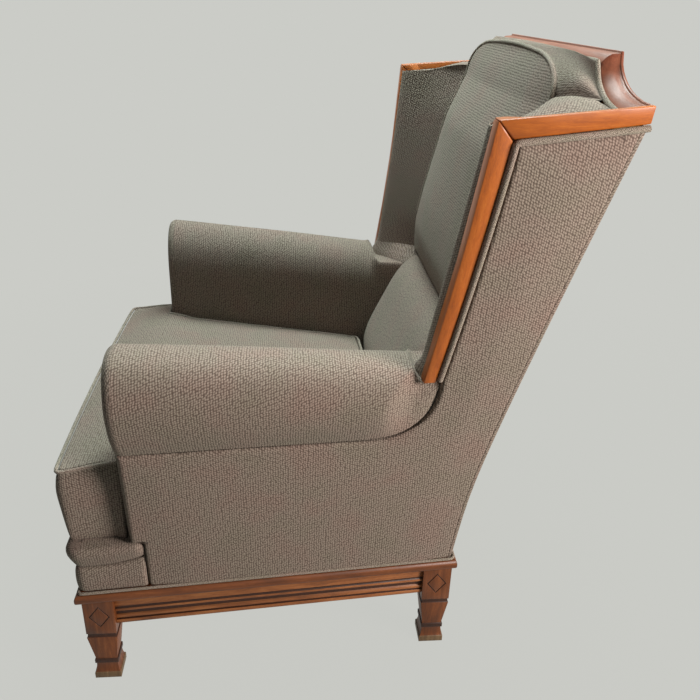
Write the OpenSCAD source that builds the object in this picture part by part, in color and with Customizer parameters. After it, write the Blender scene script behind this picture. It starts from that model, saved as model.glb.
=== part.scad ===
// Fireside chair: a winged armchair with rolled arms, a T-shaped loose seat cushion,
// a tight back in two pads, show-wood edges on the wings, a moulded crest and square tapered legs.
// The chair faces -Y, +X is the sitter's left and Z is up. The origin is on the floor, under the
// middle of the box that holds the chair.

/* [Overall] */
// Width over the tops of the wings
overall_w = 844; // [810:2:880]
// Depth from the front of the seat cushion to the rear of the crest
overall_d = 838; // [800:2:880]
// Height to the top of the crest
overall_h = 1072; // [1040:2:1100]
// Width over the front legs
front_w = 690; // [660:2:720]
// Width over the rear legs
rear_w = 583; // [560:2:610]
// Distance from the front of the cushion back to the front legs
front_setback = 21; // [18:1:26]
// Rake of the back above the seat, in degrees
back_rake = 13.5; // [11:0.5:16]
// Rake of the rear posts below the seat, in degrees
post_rake = 5.7; // [4:0.1:7]
// Height of the bend in the rear posts
bend_z = 364; // [340:2:400]

/* [Legs] */
// Floor to the underside of the plinth moulding
leg_h = 186; // [170:1:200]
// Width of a leg's square block
leg_w = 52; // [46:1:58]
// Height of a leg's square block
block_h = 76; // [68:1:80]
// Height of the groove band below the block
neck_h = 9; // [6:1:12]
// Depth of the groove band
neck_d = 1.7; // [1:0.1:3]
// Width of a leg at the foot of its taper
ankle_w = 37; // [32:1:42]
// Width of the ring above the foot
ring_w = 41; // [38:1:44]
// Height of the ring above the foot
ring_h = 8; // [5:1:10]
// Width of a foot plate
foot_w = 46; // [42:1:52]
// Height of a foot plate
foot_h = 12; // [8:1:16]
// Height of the cove above the foot plate
cove_h = 22; // [16:1:26]
// Width of the diamond cut in a block's face
diamond_w = 36; // [28:1:40]
// Height of the diamond cut in a block's face
diamond_h = 46; // [36:1:56]
// Width of the diamond's groove
diamond_groove_w = 2.4; // [1.6:0.1:4]
// Depth of the diamond's groove
diamond_groove_d = 1.4; // [0.8:0.1:2]

/* [Base] */
// Height of the rails between the legs
apron_h = 62; // [54:1:70]
// Thickness of the rails between the legs
apron_t = 20; // [16:1:26]
// How far the rails stand back from the faces of the legs
apron_setback = 7; // [4:1:10]
// Height of the flat band at the top of a rail
apron_band_h = 25; // [18:1:28]
// Depth of the reeding below the flat band
reed_d = 4; // [2:0.5:6]
// Height of the plinth moulding
plinth_h = 17; // [13:1:20]
// Overhang of the plinth moulding past the legs
plinth_out = 8; // [6:0.5:11]
// Width of the plinth moulding, front to back
plinth_w = 68; // [62:1:76]
// Diameter of the piping on the plinth
base_piping_d = 5.4; // [4:0.2:6]
// Height of the seat rails inside the upholstery
seat_rail_h = 92; // [84:1:96]
// Thickness of the seat rails
seat_rail_t = 28; // [22:1:34]
// Thickness of the dust cover below the seat
dust_cover_t = 1.2; // [0.8:0.1:2]
// Width of a seat spring across its bends
spring_w = 44; // [36:1:50]
// Diameter of the seat spring wire
spring_wire_d = 3.6; // [3:0.1:4.2]
// Number of seat springs
spring_count = 5; // [3:1:6]
// Thickness of the seat platform's felt
platform_t = 2.4; // [1.6:0.2:4]

/* [Seat] */
// Height of the band round the front of the seat
band_h = 51; // [44:1:56]
// How far the band stands out past the legs
band_out = 4; // [2:0.5:6]
// Height of the bolster above the band
bolster_h = 46; // [40:1:54]
// How far the bolster stands out past the legs
bolster_out = 13; // [9:0.5:16]
// Distance from the front legs' faces back to the rear ends of the band and the bolster
bolster_return = 113; // [100:1:125]
// Height of the seat cushion at its piped edge
cushion_h = 139; // [125:1:155]
// Rise of the cushion's crown above its edge
cushion_crown = 16; // [8:1:24]
// Rise of the cushion's top edge where it meets the arms
cushion_ear_rise = 11; // [6:1:16]
// Length of the cushion's ears in front of the arms
ear_len = 109; // [100:1:120]
// How far the cushion's side stands back from the side of the base
ear_inset = 5; // [2:0.5:8]
// How far the cushion's boxing is drawn in at its foot
boxing_draw = 12; // [6:1:16]
// Radius of the cushion's front corners
cushion_corner_r = 14; // [8:1:20]
// Diameter of the piping
piping_d = 6; // [5:0.2:7]
// Distance from the seat cushion's rear to the front of the frame, where the lumbar pad fits
lumbar_depth = 115; // [105:1:120]

/* [Arms] */
// Distance from the side of the base in to the sitter's side of an arm
arm_inset = 70; // [62:1:78]
// Height of an arm at its front
arm_front_z = 662; // [640:1:680]
// Height of an arm where it meets the wing
arm_rear_z = 622; // [614:1:634]
// Height of the seam under the bulge of an arm
arm_seam_z = 491; // [480:1:505]
// How far the top of an arm bulges out past the outside panel
arm_bulge = 28; // [20:1:36]
// Depth of the rounded front of an arm
arm_face_d = 14; // [10:1:18]
// Thickness of the padding on the sitter's side
arm_pad_t = 28; // [22:1:32]
// Radius of the outside panel's curve up to the wing
arm_end_r = 108; // [100:1:112]
// Thickness of the padding under the outside panels
skin_t = 8; // [6:0.5:9]

/* [Wings] */
// Distance from the top of the crest down to a wing's front top corner
wing_drop = 74; // [62:1:92]
// Depth of a wing at its top, back from the front edge
wing_top_d = 207; // [190:1:220]
// How far the foot of a wing's front edge stands ahead of its top
wing_lead = 51; // [40:1:62]
// Bow of a wing's front edge
wing_bow = 5; // [2:0.5:8]
// Height of the foot of a wing
wing_foot_z = 598; // [590:1:602]
// Straight outward spread of the side, base to wing top
side_spread = 70; // [60:1:80]
// How far the wings draw in towards the rear
wing_draw = 9; // [4:1:14]
// Width of the show-wood edge at a wing's top corner
edge_top_w = 26; // [22:1:30]
// Width of the show-wood edge at a wing's foot
edge_foot_w = 20; // [17:1:24]
// Thickness of the show-wood edge at a wing's front
edge_t = 24; // [18:1:28]
// Thickness of the show-wood edge along a wing's top
edge_top_t = 10; // [8:1:14]
// Diameter of the piping beside the show-wood edge
wing_piping_d = 9; // [7:0.5:10]

/* [Back] */
// Width of the back pad
back_pad_w = 521; // [500:1:530]
// Height of the seam between the lumbar pad and the back pad
lumbar_top_z = 625; // [620:1:640]
// Depth of the back pad at the seam above the lumbar pad
back_pad_foot_d = 42; // [36:1:52]
// Depth of the back pad at its middle
back_pad_mid_d = 61; // [54:1:68]
// Depth of the back pad near its top
back_pad_top_d = 42; // [36:1:50]
// Width of the curve at each top corner of the back pad
back_pad_corner_w = 140; // [110:1:160]
// Height of the curve at each top corner of the back pad
back_pad_corner_h = 53; // [42:1:60]
// Crown of the back pad's front
back_pad_crown = 16; // [8:1:22]
// How far the top of the back pad stands below the crest
back_pad_drop = 5; // [3:1:10]
// Depth of the wooden frame in the back, front to rear
back_frame_d = 38; // [34:1:44]
// Width of a rear post
post_w = 44; // [36:1:50]
// Thickness of the outside back
outside_back_t = 6; // [5:0.5:8]

/* [Crest] */
// Depth of the crest, front to rear
crest_d = 30; // [26:1:34]
// Height of the crest, foot to top
crest_h = 76; // [70:1:84]
// Drop of the curve at each end of the crest
crest_curve_h = 56; // [48:1:60]
// Drop of the crest's front below its top
crest_nose_drop = 14; // [8:1:18]
// Width of the crest's straight raised middle
crest_mid_w = 544; // [520:2:560]
// Width of the curve at each end of the crest
crest_curve_w = 113; // [100:1:116]
// Diameter of the piping below the crest
crest_piping_d = 8; // [6:0.5:9]

/* [Hidden] */

// Clearance between padded pieces, and between a piece and what it is fitted against
gap = 0.4;
// Length that a cut runs past the surface it cuts
over = 2;
fabric = "#8a7f74";
piping_tan = "#948a7c";
dark_wood = "#73462d";
rail_wood = "#965532";
crest_wood = "#9c5a40";
edge_wood = "#c06a28";
frame_wood = "#c8a878";
steel = "#8d9094";

// Heights up the base
plinth_z = leg_h + plinth_h;
band_z = plinth_z + base_piping_d;
bolster_z = band_z + band_h;
bolster_top_z = bolster_z + bolster_h;
seat_rail_top_z = plinth_z + seat_rail_h;
clip_t = 2.4;
platform_z = seat_rail_top_z + clip_t + spring_wire_d;
cushion_z = max(bolster_top_z, platform_z + platform_t) + gap;
cushion_edge_z = cushion_z + cushion_h;
pads_low_z = platform_z + platform_t + gap;
// Heights down from the crest
wing_z = overall_h - wing_drop;
crest_foot_z = overall_h - crest_h;
crest_end_z = overall_h - crest_curve_h;

// Places along the depth
front_y = -overall_d / 2;
rear_y = overall_d / 2;
leg_front_y = front_y + front_setback;
front_leg_y = leg_front_y + leg_w / 2;
crest_bead_out = 1;
crest_front_y = rear_y - crest_d;
back_rear_y = rear_y - crest_bead_out;
bend_r = 80;

// The line of the rear of the chair: upright below the bend, raked above it
function soft(u) = (u + sqrt(u * u + bend_r * bend_r)) / 2;
function back_run(z) = (z - bend_z) * tan(post_rake) + (tan(back_rake) - tan(post_rake)) * soft(z - bend_z);
function back_y(z) = back_rear_y + back_run(min(z, crest_foot_z)) - back_run(crest_foot_z);
rear_leg_out = 3.5;
leg_rear_y = back_y(plinth_z) + rear_leg_out;
rear_leg_y = leg_rear_y - leg_w / 2;

// Half the width over the base at a depth, and the taper of the sides in plan
taper_share = (rear_w - front_w) / 2 / (rear_leg_y - front_leg_y);
taper = -atan(taper_share);
function half_w(y) = front_w / 2 + (y - front_leg_y) * taper_share;

// The front edge of a wing, and the flared surface of the chair's side
wing_top_y = rear_y - wing_top_d;
wing_rise = wing_z - wing_foot_z;
function wing_share(z) = (z - wing_foot_z) / wing_rise;
function wing_y(z) =
    wing_top_y - wing_lead * (1 - wing_share(z)) + 4 * wing_bow * wing_share(z) * (1 - wing_share(z));
function rise_share(z) = (z - plinth_z) / (wing_z - plinth_z);
side_flare = overall_w / 2 - half_w(wing_top_y) - side_spread;
function draw_in(y, z) =
    wing_draw * pow(rise_share(z), 2) * pow(max(0, (y - wing_top_y) / wing_top_d), 2);
function side_x(y, z) =
    half_w(y) + side_spread * rise_share(z) + side_flare * pow(rise_share(z), 2) - draw_in(y, z);
function arm_x(y) = half_w(y) - arm_inset;
function wing_top_z(y) = wing_z + (crest_end_z - wing_z) * (y - wing_top_y) / wing_top_d;

// Front plane of the wooden frame in the back, and the depth of the pads in front of it
webbing_t = 2;
function frame_y(z) = back_y(z) - outside_back_t - gap - back_frame_d;
function pad_rear_y(z) = frame_y(z) - webbing_t - gap;
// Height above the crest's foot at which the back pad reaches rearwards over the top rail
back_step = 8;

function lerp(a, b, t) = a + (b - a) * t;
function ease(t) = t * t * (3 - 2 * t);
function clamp01(t) = min(1, max(0, t));
function steps(n) = [for (i = [0 : n]) i / n];
function mean(points) = [for (k = [0 : 2]) sum([for (p = points) p[k]]) / len(points)];
function sum(v) = [for (i = v) 1] * v;
function unit(v) = v / norm(v);
function flip(points) = [for (i = [len(points) - 1 : -1 : 0]) points[i]];
// Value of a table of [place, value] pairs at a place between its rows
function at(table, u, i = 0) =
    i >= len(table) - 2 || u <= table[i + 1][0]
        ? lerp(table[i][1], table[i + 1][1],
            clamp01((u - table[i][0]) / (table[i + 1][0] - table[i][0])))
        : at(table, u, i + 1);

// A solid between rings of points, closed at its ends by fans, by flat faces, or run round into itself
function ring_way(ring) = sum([for (i = [0 : len(ring) - 1]) cross(ring[i], ring[(i + 1) % len(ring)])]);
function outward(rings) =
    let (m = len(rings) - 1, way = ring_way(rings[0]) * (mean(rings[1]) - mean(rings[0])))
    way > 0 ? rings : [for (ring = rings) flip(ring)];
module loft(rings_in, closed = false, flat = false) {
    rings = outward(rings_in);
    n = len(rings[0]);
    m = len(rings);
    low = m * n;
    high = low + 1;
    points = [for (ring = rings) each ring, mean(rings[0]), mean(rings[m - 1])];
    sides = [
        for (i = [0 : m - (closed ? 1 : 2)], j = [0 : n - 1])
            each let (next = (j + 1) % n, up = ((i + 1) % m) * n, a = i * n + j, b = i * n + next)
                [[a, up + j, up + next], [a, up + next, b]]
    ];
    fans = [
        for (j = [0 : n - 1])
            each [[low, j, (j + 1) % n], [high, (m - 1) * n + (j + 1) % n, (m - 1) * n + j]]
    ];
    flats = [[for (j = [0 : n - 1]) j], [for (j = [n - 1 : -1 : 0]) (m - 1) * n + j]];
    ends = closed ? [] : flat ? flats : fans;
    polyhedron(closed || flat ? [for (ring = rings) each ring] : points, concat(sides, ends));
}

// A thick sheet between two grids of points with the same rows and columns
function sheet_way(face, back) =
    let (i = floor(len(face) / 2) - 1, j = floor(len(face[0]) / 2) - 1, p = face[i][j])
    cross(face[i][j + 1] - p, face[i + 1][j] - p) * (p - back[i][j]);
module sheet(face_in, back_in) {
    turned = sheet_way(face_in, back_in) < 0;
    face = turned ? [for (row = face_in) flip(row)] : face_in;
    back = turned ? [for (row = back_in) flip(row)] : back_in;
    m = len(face);
    n = len(face[0]);
    points = concat([for (row = face) each row], [for (row = back) each row]);
    size = m * n;
    grid = [
        for (i = [0 : m - 2], j = [0 : n - 2])
            each let (a = i * n + j, b = a + 1, c = a + n, d = c + 1)
                [[a, c, d], [a, d, b], [size + a, size + d, size + c], [size + a, size + b, size + d]]
    ];
    sides = [
        for (i = [0 : m - 2])
            each let (a = i * n, c = a + n, b = a + n - 1, d = b + n)
                [[a, size + a, size + c], [a, size + c, c], [b, size + d, size + b], [b, d, size + d]]
    ];
    ends = [
        for (j = [0 : n - 2])
            each let (a = j, b = j + 1, c = (m - 1) * n + j, d = c + 1)
                [[a, b, size + b], [a, size + b, size + a], [c, size + d, d], [c, size + c, size + d]]
    ];
    polyhedron(points, concat(grid, sides, ends));
}

// A round tube along points, its rings square to the path and one side turned to a given way
function tube_ring(p, along, side, r, n) =
    let (u = unit(side - along * (side * along)), v = cross(along, u))
    [for (k = [0 : n - 1]) p + r * (cos(360 * k / n) * u + sin(360 * k / n) * v)];
function path_way(path, i) = unit(path[min(i + 1, len(path) - 1)] - path[max(i - 1, 0)]);
module tube(path, d, side, n = 8) {
    loft([for (i = [0 : len(path) - 1]) tube_ring(path[i], path_way(path, i), side, d / 2, n)]);
}
module both_sides(side) {
    if (side > 0) children();
    else mirror([1, 0, 0]) children();
}

// Plan of the base at a distance outside the faces of the legs
function plan_front_y(out) = leg_front_y - out;
function plan_rear_y(out) = leg_rear_y + out;
function plan_x(y, out) = half_w(y) + out / cos(taper);
function corner_front(out) = [plan_x(plan_front_y(out), out), plan_front_y(out)];
function corner_rear(out) = [plan_x(plan_rear_y(out), out), plan_rear_y(out)];
function mirror_x(p) = [-p[0], p[1]];
// A mitred member along one side of the base, its section given as [distance out, height] points
module front_member(section) {
    loft([[for (s = section) [each corner_front(s[0]), s[1]]],
        [for (s = section) [each mirror_x(corner_front(s[0])), s[1]]]], flat = true);
}
module rear_member(section) {
    loft([[for (s = section) [each corner_rear(s[0]), s[1]]],
        [for (s = section) [each mirror_x(corner_rear(s[0])), s[1]]]], flat = true);
}
module side_member(section, side) {
    both_sides(side) loft([[for (s = section) [each corner_front(s[0]), s[1]]],
        [for (s = section) [each corner_rear(s[0]), s[1]]]], flat = true);
}

// Legs: a square block with a diamond cut in its faces, a groove band, a taper, a ring, a cove and a foot
neck_z = leg_h - block_h;
taper_top_z = neck_z - neck_h;
ring_z = foot_h + cove_h;
edge_break = 1.2;
leg_half = [
    [foot_w / 2, 0],
    for (t = steps(5)) [lerp(foot_w, ankle_w, sin(90 * t)) / 2, foot_h + cove_h * (1 - cos(90 * t))],
    [ring_w / 2, ring_z],
    [ring_w / 2, ring_z + ring_h],
    [ankle_w / 2, ring_z + ring_h + edge_break],
    [leg_w / 2, taper_top_z],
    [leg_w / 2 - neck_d, taper_top_z + edge_break],
    [leg_w / 2 - neck_d, neck_z - edge_break],
    [leg_w / 2, neck_z],
    [leg_w / 2, leg_h]
];
module leg_profile() {
    rotate([90, 0, 0])
        linear_extrude(leg_w, center = true)
            polygon(concat(leg_half, [for (p = flip(leg_half)) [-p[0], p[1]]]));
}
module diamond(w, h) {
    polygon([[w / 2, 0], [0, h / 2], [-w / 2, 0], [0, -h / 2]]);
}
module diamond_groove() {
    translate([0, leg_w / 2 - diamond_groove_d, leg_h - block_h / 2])
        rotate([-90, 0, 0])
            linear_extrude(diamond_groove_d + over)
                difference() {
                    diamond(diamond_w, diamond_h);
                    diamond(diamond_w - 2 * diamond_groove_w, diamond_h - 2 * diamond_groove_w);
                }
}
module leg(x, y) {
    color(dark_wood)
        translate([x, y, 0])
            difference() {
                intersection() {
                    leg_profile();
                    rotate([0, 0, 90]) leg_profile();
                }
                rotate([0, 0, y < 0 ? 180 : 0]) diamond_groove();
                rotate([0, 0, x < 0 ? 90 : -90]) diamond_groove();
            }
}
front_leg_x = front_w / 2 - leg_w / 2;
rear_leg_x = rear_w / 2 - leg_w / 2;

// Rails between the legs: a flat band over reeding, a deep cove and a bead along the bottom edge
reed_shares = [
    [0.45, 0.02], [0.45, 0.1], [0, 0.14], [-0.1, 0.2], [0, 0.26], [1, 0.32], [1, 0.52],
    [0.25, 0.57], [0.15, 0.64], [0.25, 0.71], [1, 0.74], [1, 0.77], [0, 0.8], [-0.15, 0.9], [0, 1]
];
apron_section = concat(
    [[-apron_setback, leg_h]],
    [for (s = reed_shares)
        [-apron_setback - reed_d * s[0], leg_h - apron_band_h - (apron_h - apron_band_h) * s[1]]],
    [[-apron_setback - apron_t, leg_h - apron_h], [-apron_setback - apron_t, leg_h]]
);
module cross_apron(x, face_y, out_y) {
    color(rail_wood)
        translate([0, face_y, 0])
            rotate([90, 0, 90])
                linear_extrude(2 * x - leg_w, center = true)
                    polygon([for (s = apron_section) [out_y * s[0], s[1]]]);
}
module side_apron(side) {
    color(rail_wood)
        both_sides(side)
            intersection() {
                translate([half_w(0), 0, 0])
                    rotate([90, 0, taper])
                        linear_extrude(overall_d, center = true)
                            polygon(apron_section);
                translate([0, front_leg_y + leg_w / 2, 0])
                    cube([front_w, rear_leg_y - front_leg_y - leg_w, leg_h]);
            }
}

// Plinth moulding round the top of the legs, with a rounded nose
plinth_nose_shares = [[0.34, 0], [0.09, 0.1], [0, 0.28], [0, 0.6], [0.12, 0.8], [0.45, 1]];
plinth_section = concat(
    [[plinth_out - plinth_w, leg_h]],
    [for (s = plinth_nose_shares) [plinth_out * (1 - s[0]), leg_h + plinth_h * s[1]]],
    [[plinth_out - plinth_w, plinth_z]]
);
base_piping_out = 2;
module base_piping() {
    section = [for (k = [0 : 7])
        [base_piping_out + base_piping_d / 2 * cos(45 * k),
            plinth_z + base_piping_d / 2 * (1 + sin(45 * k))]];
    corners = function (out) [corner_front(out), mirror_x(corner_front(out)),
        mirror_x(corner_rear(out)), corner_rear(out)];
    color(piping_tan)
        loft([for (c = [0 : 3]) [for (s = section) [each corners(s[0])[c], s[1]]]], closed = true);
}

// Seat frame inside the upholstery
seat_rail_in = 12;
rail_section = [
    [-seat_rail_in, plinth_z],
    [-seat_rail_in, seat_rail_top_z],
    [-seat_rail_in - seat_rail_t, seat_rail_top_z],
    [-seat_rail_in - seat_rail_t, plinth_z]
];
rail_inner_out = -seat_rail_in - seat_rail_t;
block_leg = 60;
block_top_z = seat_rail_top_z - spring_wire_d;
module corner_block(c, way) {
    far_y = c[1] + way * block_leg;
    translate([0, 0, plinth_z])
        linear_extrude(block_top_z - plinth_z)
            polygon([c, [c[0] - block_leg, c[1]], [plan_x(far_y, rail_inner_out), far_y]]);
}
module corner_blocks() {
    color(frame_wood)
        for (side = [1, -1])
            both_sides(side) {
                corner_block(corner_front(rail_inner_out), 1);
                corner_block(corner_rear(rail_inner_out), -1);
            }
}

// Countersunk screws up through each corner block's middle into the plinth moulding
screw_head_d = 9;
screw_head_h = 4;
module frame_screws() {
    color(steel)
        for (side = [1, -1])
            both_sides(side)
                for (c = [[corner_front(rail_inner_out), 1], [corner_rear(rail_inner_out), -1]])
                    translate([c[0][0] - block_leg / 4, c[0][1] + c[1] * block_leg / 4, block_top_z])
                        cylinder(h = screw_head_h / 2, d1 = screw_head_d, d2 = screw_head_d / 2, $fn = 24);
}

// Zigzag springs from the front rail to the rear rail, each end held under a clip's tongue
spring_front_y = plan_front_y(-seat_rail_in - seat_rail_t / 2);
spring_rear_y = plan_rear_y(-seat_rail_in - seat_rail_t / 2);
spring_z = seat_rail_top_z + clip_t + spring_wire_d / 2;
spring_bends = 18;
spring_spread = 2 * (corner_rear(rail_inner_out)[0] - post_w - spring_w) / spring_count;
function spring_x(i) = (i - (spring_count - 1) / 2) * spring_spread;
module seat_springs() {
    color(steel)
        for (i = [0 : spring_count - 1])
            tube([for (k = [0 : spring_bends])
                [spring_x(i) + (k == 0 || k == spring_bends ? 0 : (k % 2 - 0.5) * spring_w),
                    lerp(spring_front_y, spring_rear_y, k / spring_bends), spring_z]],
                spring_wire_d, [0, 0, 1], 6);
}
clip_w = 14;
module spring_clips() {
    color(steel)
        for (i = [0 : spring_count - 1], y = [spring_front_y, spring_rear_y])
            translate([spring_x(i), y, seat_rail_top_z + clip_t / 2])
                cube([clip_w, seat_rail_t / 2, clip_t], center = true);
}
platform_front_out = -14;
module seat_platform() {
    rear = frame_y(platform_z) - gap;
    color("#4a4640")
        translate([0, 0, platform_z])
            linear_extrude(platform_t)
                polygon([for (side = [1, -1], y = side > 0 ? [plan_front_y(platform_front_out), rear]
                    : [rear, plan_front_y(platform_front_out)])
                        [side * plan_x(y, rail_inner_out - gap), y]]);
}
cover_in = 54;
module dust_cover() {
    color("#2c2b2a")
        translate([0, 0, leg_h - dust_cover_t])
            linear_extrude(dust_cover_t)
                polygon([corner_front(-cover_in), corner_rear(-cover_in),
                    mirror_x(corner_rear(-cover_in)), mirror_x(corner_front(-cover_in))]);
}

// The band and the bolster round the front of the seat, turned back along the sides
base_corner_r = 12;
bolster_end_y = leg_front_y + bolster_return;
function side_frames() =
    let (cy = leg_front_y + base_corner_r, cx = half_w(cy) - base_corner_r / cos(taper))
    concat([[half_w(bolster_end_y), bolster_end_y, taper]],
        [for (t = steps(4)) let (a = lerp(taper, -90, t))
            [cx + base_corner_r * cos(a), cy + base_corner_r * sin(a), a]]);
front_frames = concat(side_frames(), flip([for (f = side_frames()) [-f[0], f[1], 180 - f[2]]]));
module front_wrap(section) {
    loft([for (f = front_frames)
        [for (s = section) [f[0] + cos(f[2]) * s[0], f[1] + sin(f[2]) * s[0], s[1]]]], flat = true);
}
wrap_back = -seat_rail_in + gap;
band_edge = 2;
band_section = [
    [wrap_back, band_z],
    [band_out - band_edge, band_z],
    [band_out, band_z + 3 * band_edge],
    [band_out, bolster_z - 3 * band_edge],
    [band_out - band_edge, bolster_z - gap],
    [wrap_back, bolster_z - gap]
];
// Shares of the bolster's depth past the band's edge and of its height
bolster_shares = [
    [0, 0], [0.3, 0.12], [0.55, 0.3], [0.8, 0.48], [0.97, 0.64],
    [1, 0.75], [0.86, 0.88], [0.35, 0.97], [-0.6, 1]
];
bolster_section = concat(
    [[wrap_back, bolster_z]],
    [for (s = bolster_shares) [lerp(band_out - band_edge, bolster_out, s[0]), bolster_z + bolster_h * s[1]]],
    [[wrap_back, bolster_top_z]]
);

// Seat cushion: a T in plan, its boxing drawn in at the foot and its top crowned between piped edges
lumbar_nose_z = 432;
lumbar_nose_y = frame_y(lumbar_nose_z) - lumbar_depth;
cushion_rear_gap = 3.5;
cushion_rear_y = lumbar_nose_y - cushion_rear_gap;
cushion_bow = 6;
ear_rear_y = front_y + ear_len;
arm_side_gap = 1.5;
cushion_side_front_y = front_y + cushion_bow;
function cushion_ear_x(y) = plan_x(y, -ear_inset);
function cushion_body_x(y) = arm_x(y) - arm_side_gap;
ear_corner = [cushion_ear_x(cushion_side_front_y), cushion_side_front_y];
ear_rear = [cushion_ear_x(ear_rear_y), ear_rear_y];
throat = [cushion_body_x(ear_rear_y), ear_rear_y];
cushion_rear = [cushion_body_x(cushion_rear_y), cushion_rear_y];
function arc(c, r, a, b, n) = [for (t = steps(n)) c + r * [cos(lerp(a, b, t)), sin(lerp(a, b, t))]];
// One side of the cushion's outline, from the middle of the front round to the middle of the rear
cushion_half = concat(
    [for (t = [0, 0.3, 0.6, 0.85]) [ear_corner[0] * t, ear_corner[1] - cushion_bow * (1 - t * t)]],
    arc(ear_corner + cushion_corner_r * [-1, 1], cushion_corner_r, -90, taper, 3),
    [lerp(ear_corner, ear_rear, 0.5)],
    arc(ear_rear - cushion_corner_r / 2 * [1, 1], cushion_corner_r / 2, taper, 90, 2),
    [lerp(ear_rear, throat, 0.5), throat],
    [for (t = [0.12, 0.3, 0.55, 0.8]) lerp(throat, cushion_rear, t)],
    arc(cushion_rear - cushion_corner_r * [1, 1], cushion_corner_r, taper, 90, 3),
    [[cushion_rear[0] * 0.6, cushion_rear_y], [cushion_rear[0] * 0.3, cushion_rear_y], [0, cushion_rear_y]]
);
cushion_outline = concat(cushion_half,
    [for (i = [len(cushion_half) - 2 : -1 : 1]) mirror_x(cushion_half[i])]);
function inset_point(path, i, d) =
    let (n = len(path), way = unit(path[(i + 1) % n] - path[(i + n - 1) % n]))
    path[i] - d * [way[1], -way[0]];
function inset(path, d) = [for (i = [0 : len(path) - 1]) inset_point(path, i, d)];
// Rows up the boxing: shares of its height, and of how far it is drawn in
boxing_shares = [
    [0, 1], [0.05, 0.8], [0.2, 0.54], [0.45, 0.25],
    [0.72, 0], [0.9, 0.25], [0.965, 0.62], [1, 0.92]
];
cushion_rear_drop = 28;
crown_len = cushion_rear_y - front_y;
function crown_half_w(y) =
    lerp(ear_corner[0], cushion_body_x(y), ease(clamp01((y - ear_rear_y) / (cushion_corner_r * 4))));
function edge_z(y) =
    let (s = clamp01((y - front_y) / ear_len), t = clamp01((y - ear_rear_y) / (cushion_rear_y - ear_rear_y)))
    cushion_edge_z + cushion_ear_rise * ease(s) - (cushion_ear_rise + cushion_rear_drop) * t;
function crown(x, y) =
    cushion_crown * (1 - pow(clamp01(abs(x) / crown_half_w(y)), 3))
        * (1 - pow(clamp01(abs(2 * (y - front_y) / crown_len - 1)), 4));
function cushion_top(x, y) = edge_z(y) + crown(x, y) + rear_lift(x, y);
// The cushion's rear drops least along the middle
function rear_lift(x, y) =
    (cushion_ear_rise + cushion_rear_drop) * 0.5 * (1 - pow(clamp01(abs(x) / crown_half_w(y)), 2))
        * ease(clamp01((y - ear_rear_y) / (cushion_rear_y - ear_rear_y)));
cushion_centre = [0, ear_rear_y - cushion_corner_r];
cushion_rings = concat(
    [for (row = boxing_shares)
        [for (p = inset(cushion_outline, boxing_draw * row[1]))
            [each p, lerp(cushion_z, cushion_top(p[0], p[1]), row[0])]]],
    [for (s = [0.9, 0.72, 0.5, 0.25])
        [for (p = inset(cushion_outline, boxing_draw * boxing_shares[7][1]))
            let (q = cushion_centre + s * (p - cushion_centre)) [each q, cushion_top(q[0], q[1])]]]
);
module seat_cushion() {
    color(fabric) loft(cushion_rings);
}
seat_piping_in = 4.6;
seat_piping_drop = 1;
module seat_piping() {
    path = [for (p = inset(cushion_outline, seat_piping_in))
        [each p, cushion_top(p[0], p[1]) - seat_piping_drop]];
    n = len(path);
    color(piping_tan)
        loft([for (i = [0 : n - 1])
            tube_ring(path[i], unit(path[(i + 1) % n] - path[(i + n - 1) % n]), [0, 0, 1], piping_d / 2, 6)],
            closed = true);
}

// The outside panel's front edge: behind the bolster and the arm's front, along the arm's seam
// and up the curve under the wing
arm_face_y = ear_rear_y + 1;
arm_start_y = arm_face_y + arm_face_d;
panel_front_y = arm_face_y + arm_face_d / 3;
function edge_w(z) = lerp(edge_foot_w, edge_top_w, wing_share(z));
function edge_rear_y(z) = wing_y(z) + edge_w(z);
panel_edge_gap = wing_piping_d + 3 * gap;
curve_top_z = wing_foot_z;
curve_y = edge_rear_y(wing_foot_z) + panel_edge_gap - arm_end_r;
curve_power = 2.3;
function curve_share(s) = pow(1 - pow(clamp01(s), curve_power), 1 / curve_power);
function panel_curve_y(z) = curve_y + arm_end_r * curve_share((curve_top_z - z) / (curve_top_z - arm_seam_z));
function seam_z(y) =
    y < curve_y ? arm_seam_z
        : curve_top_z - (curve_top_z - arm_seam_z) * curve_share((y - curve_y) / arm_end_r);
function panel_rear_y(z) = back_y(z) - outside_back_t - gap;
edge_rear_w = 23;
function edge_low_z(y) = wing_top_z(y) - lerp(edge_top_w, edge_rear_w, (y - wing_top_y) / wing_top_d);
function panel_top_z(y) = edge_low_z(y) - panel_edge_gap;
// Rows of [front edge, height at the front, height at the rear] up the panel
panel_rows = concat(
    [for (z = [band_z, bolster_z, bolster_top_z]) [bolster_end_y + gap, z, z]],
    [for (s = [0, 0.4, 0.75, 1])
        let (z = lerp(bolster_top_z + gap, arm_seam_z - gap, s)) [panel_front_y, z, z]],
    [for (s = [0, 0.02, 0.08, 0.2, 0.4, 0.65, 1])
        let (z = lerp(arm_seam_z, curve_top_z, s)) [panel_curve_y(z), z, z]],
    [for (s = [0.12, 0.3, 0.5, 0.7, 0.86, 1])
        let (z = lerp(wing_foot_z, panel_top_z(wing_top_y), s), y = edge_rear_y(z) + panel_edge_gap,
            rear_top_z = panel_top_z(panel_rear_y(crest_foot_z)))
            [y, lerp(wing_foot_z, panel_top_z(y), s), lerp(wing_foot_z, rear_top_z, s)]]
);
function panel_point(row, s, inward) =
    let (z = lerp(row[1], row[2], s), y = lerp(row[0], panel_rear_y(z), s))
    [side_x(y, z) - inward, y, z];
panel_columns = steps(8);
panel_in = 1.5;
module outside_panel(side) {
    color(fabric)
        both_sides(side)
            sheet([for (row = panel_rows) [for (s = panel_columns) panel_point(row, s, panel_in)]],
                [for (row = panel_rows) [for (s = panel_columns) panel_point(row, s, skin_t)]]);
}

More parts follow.
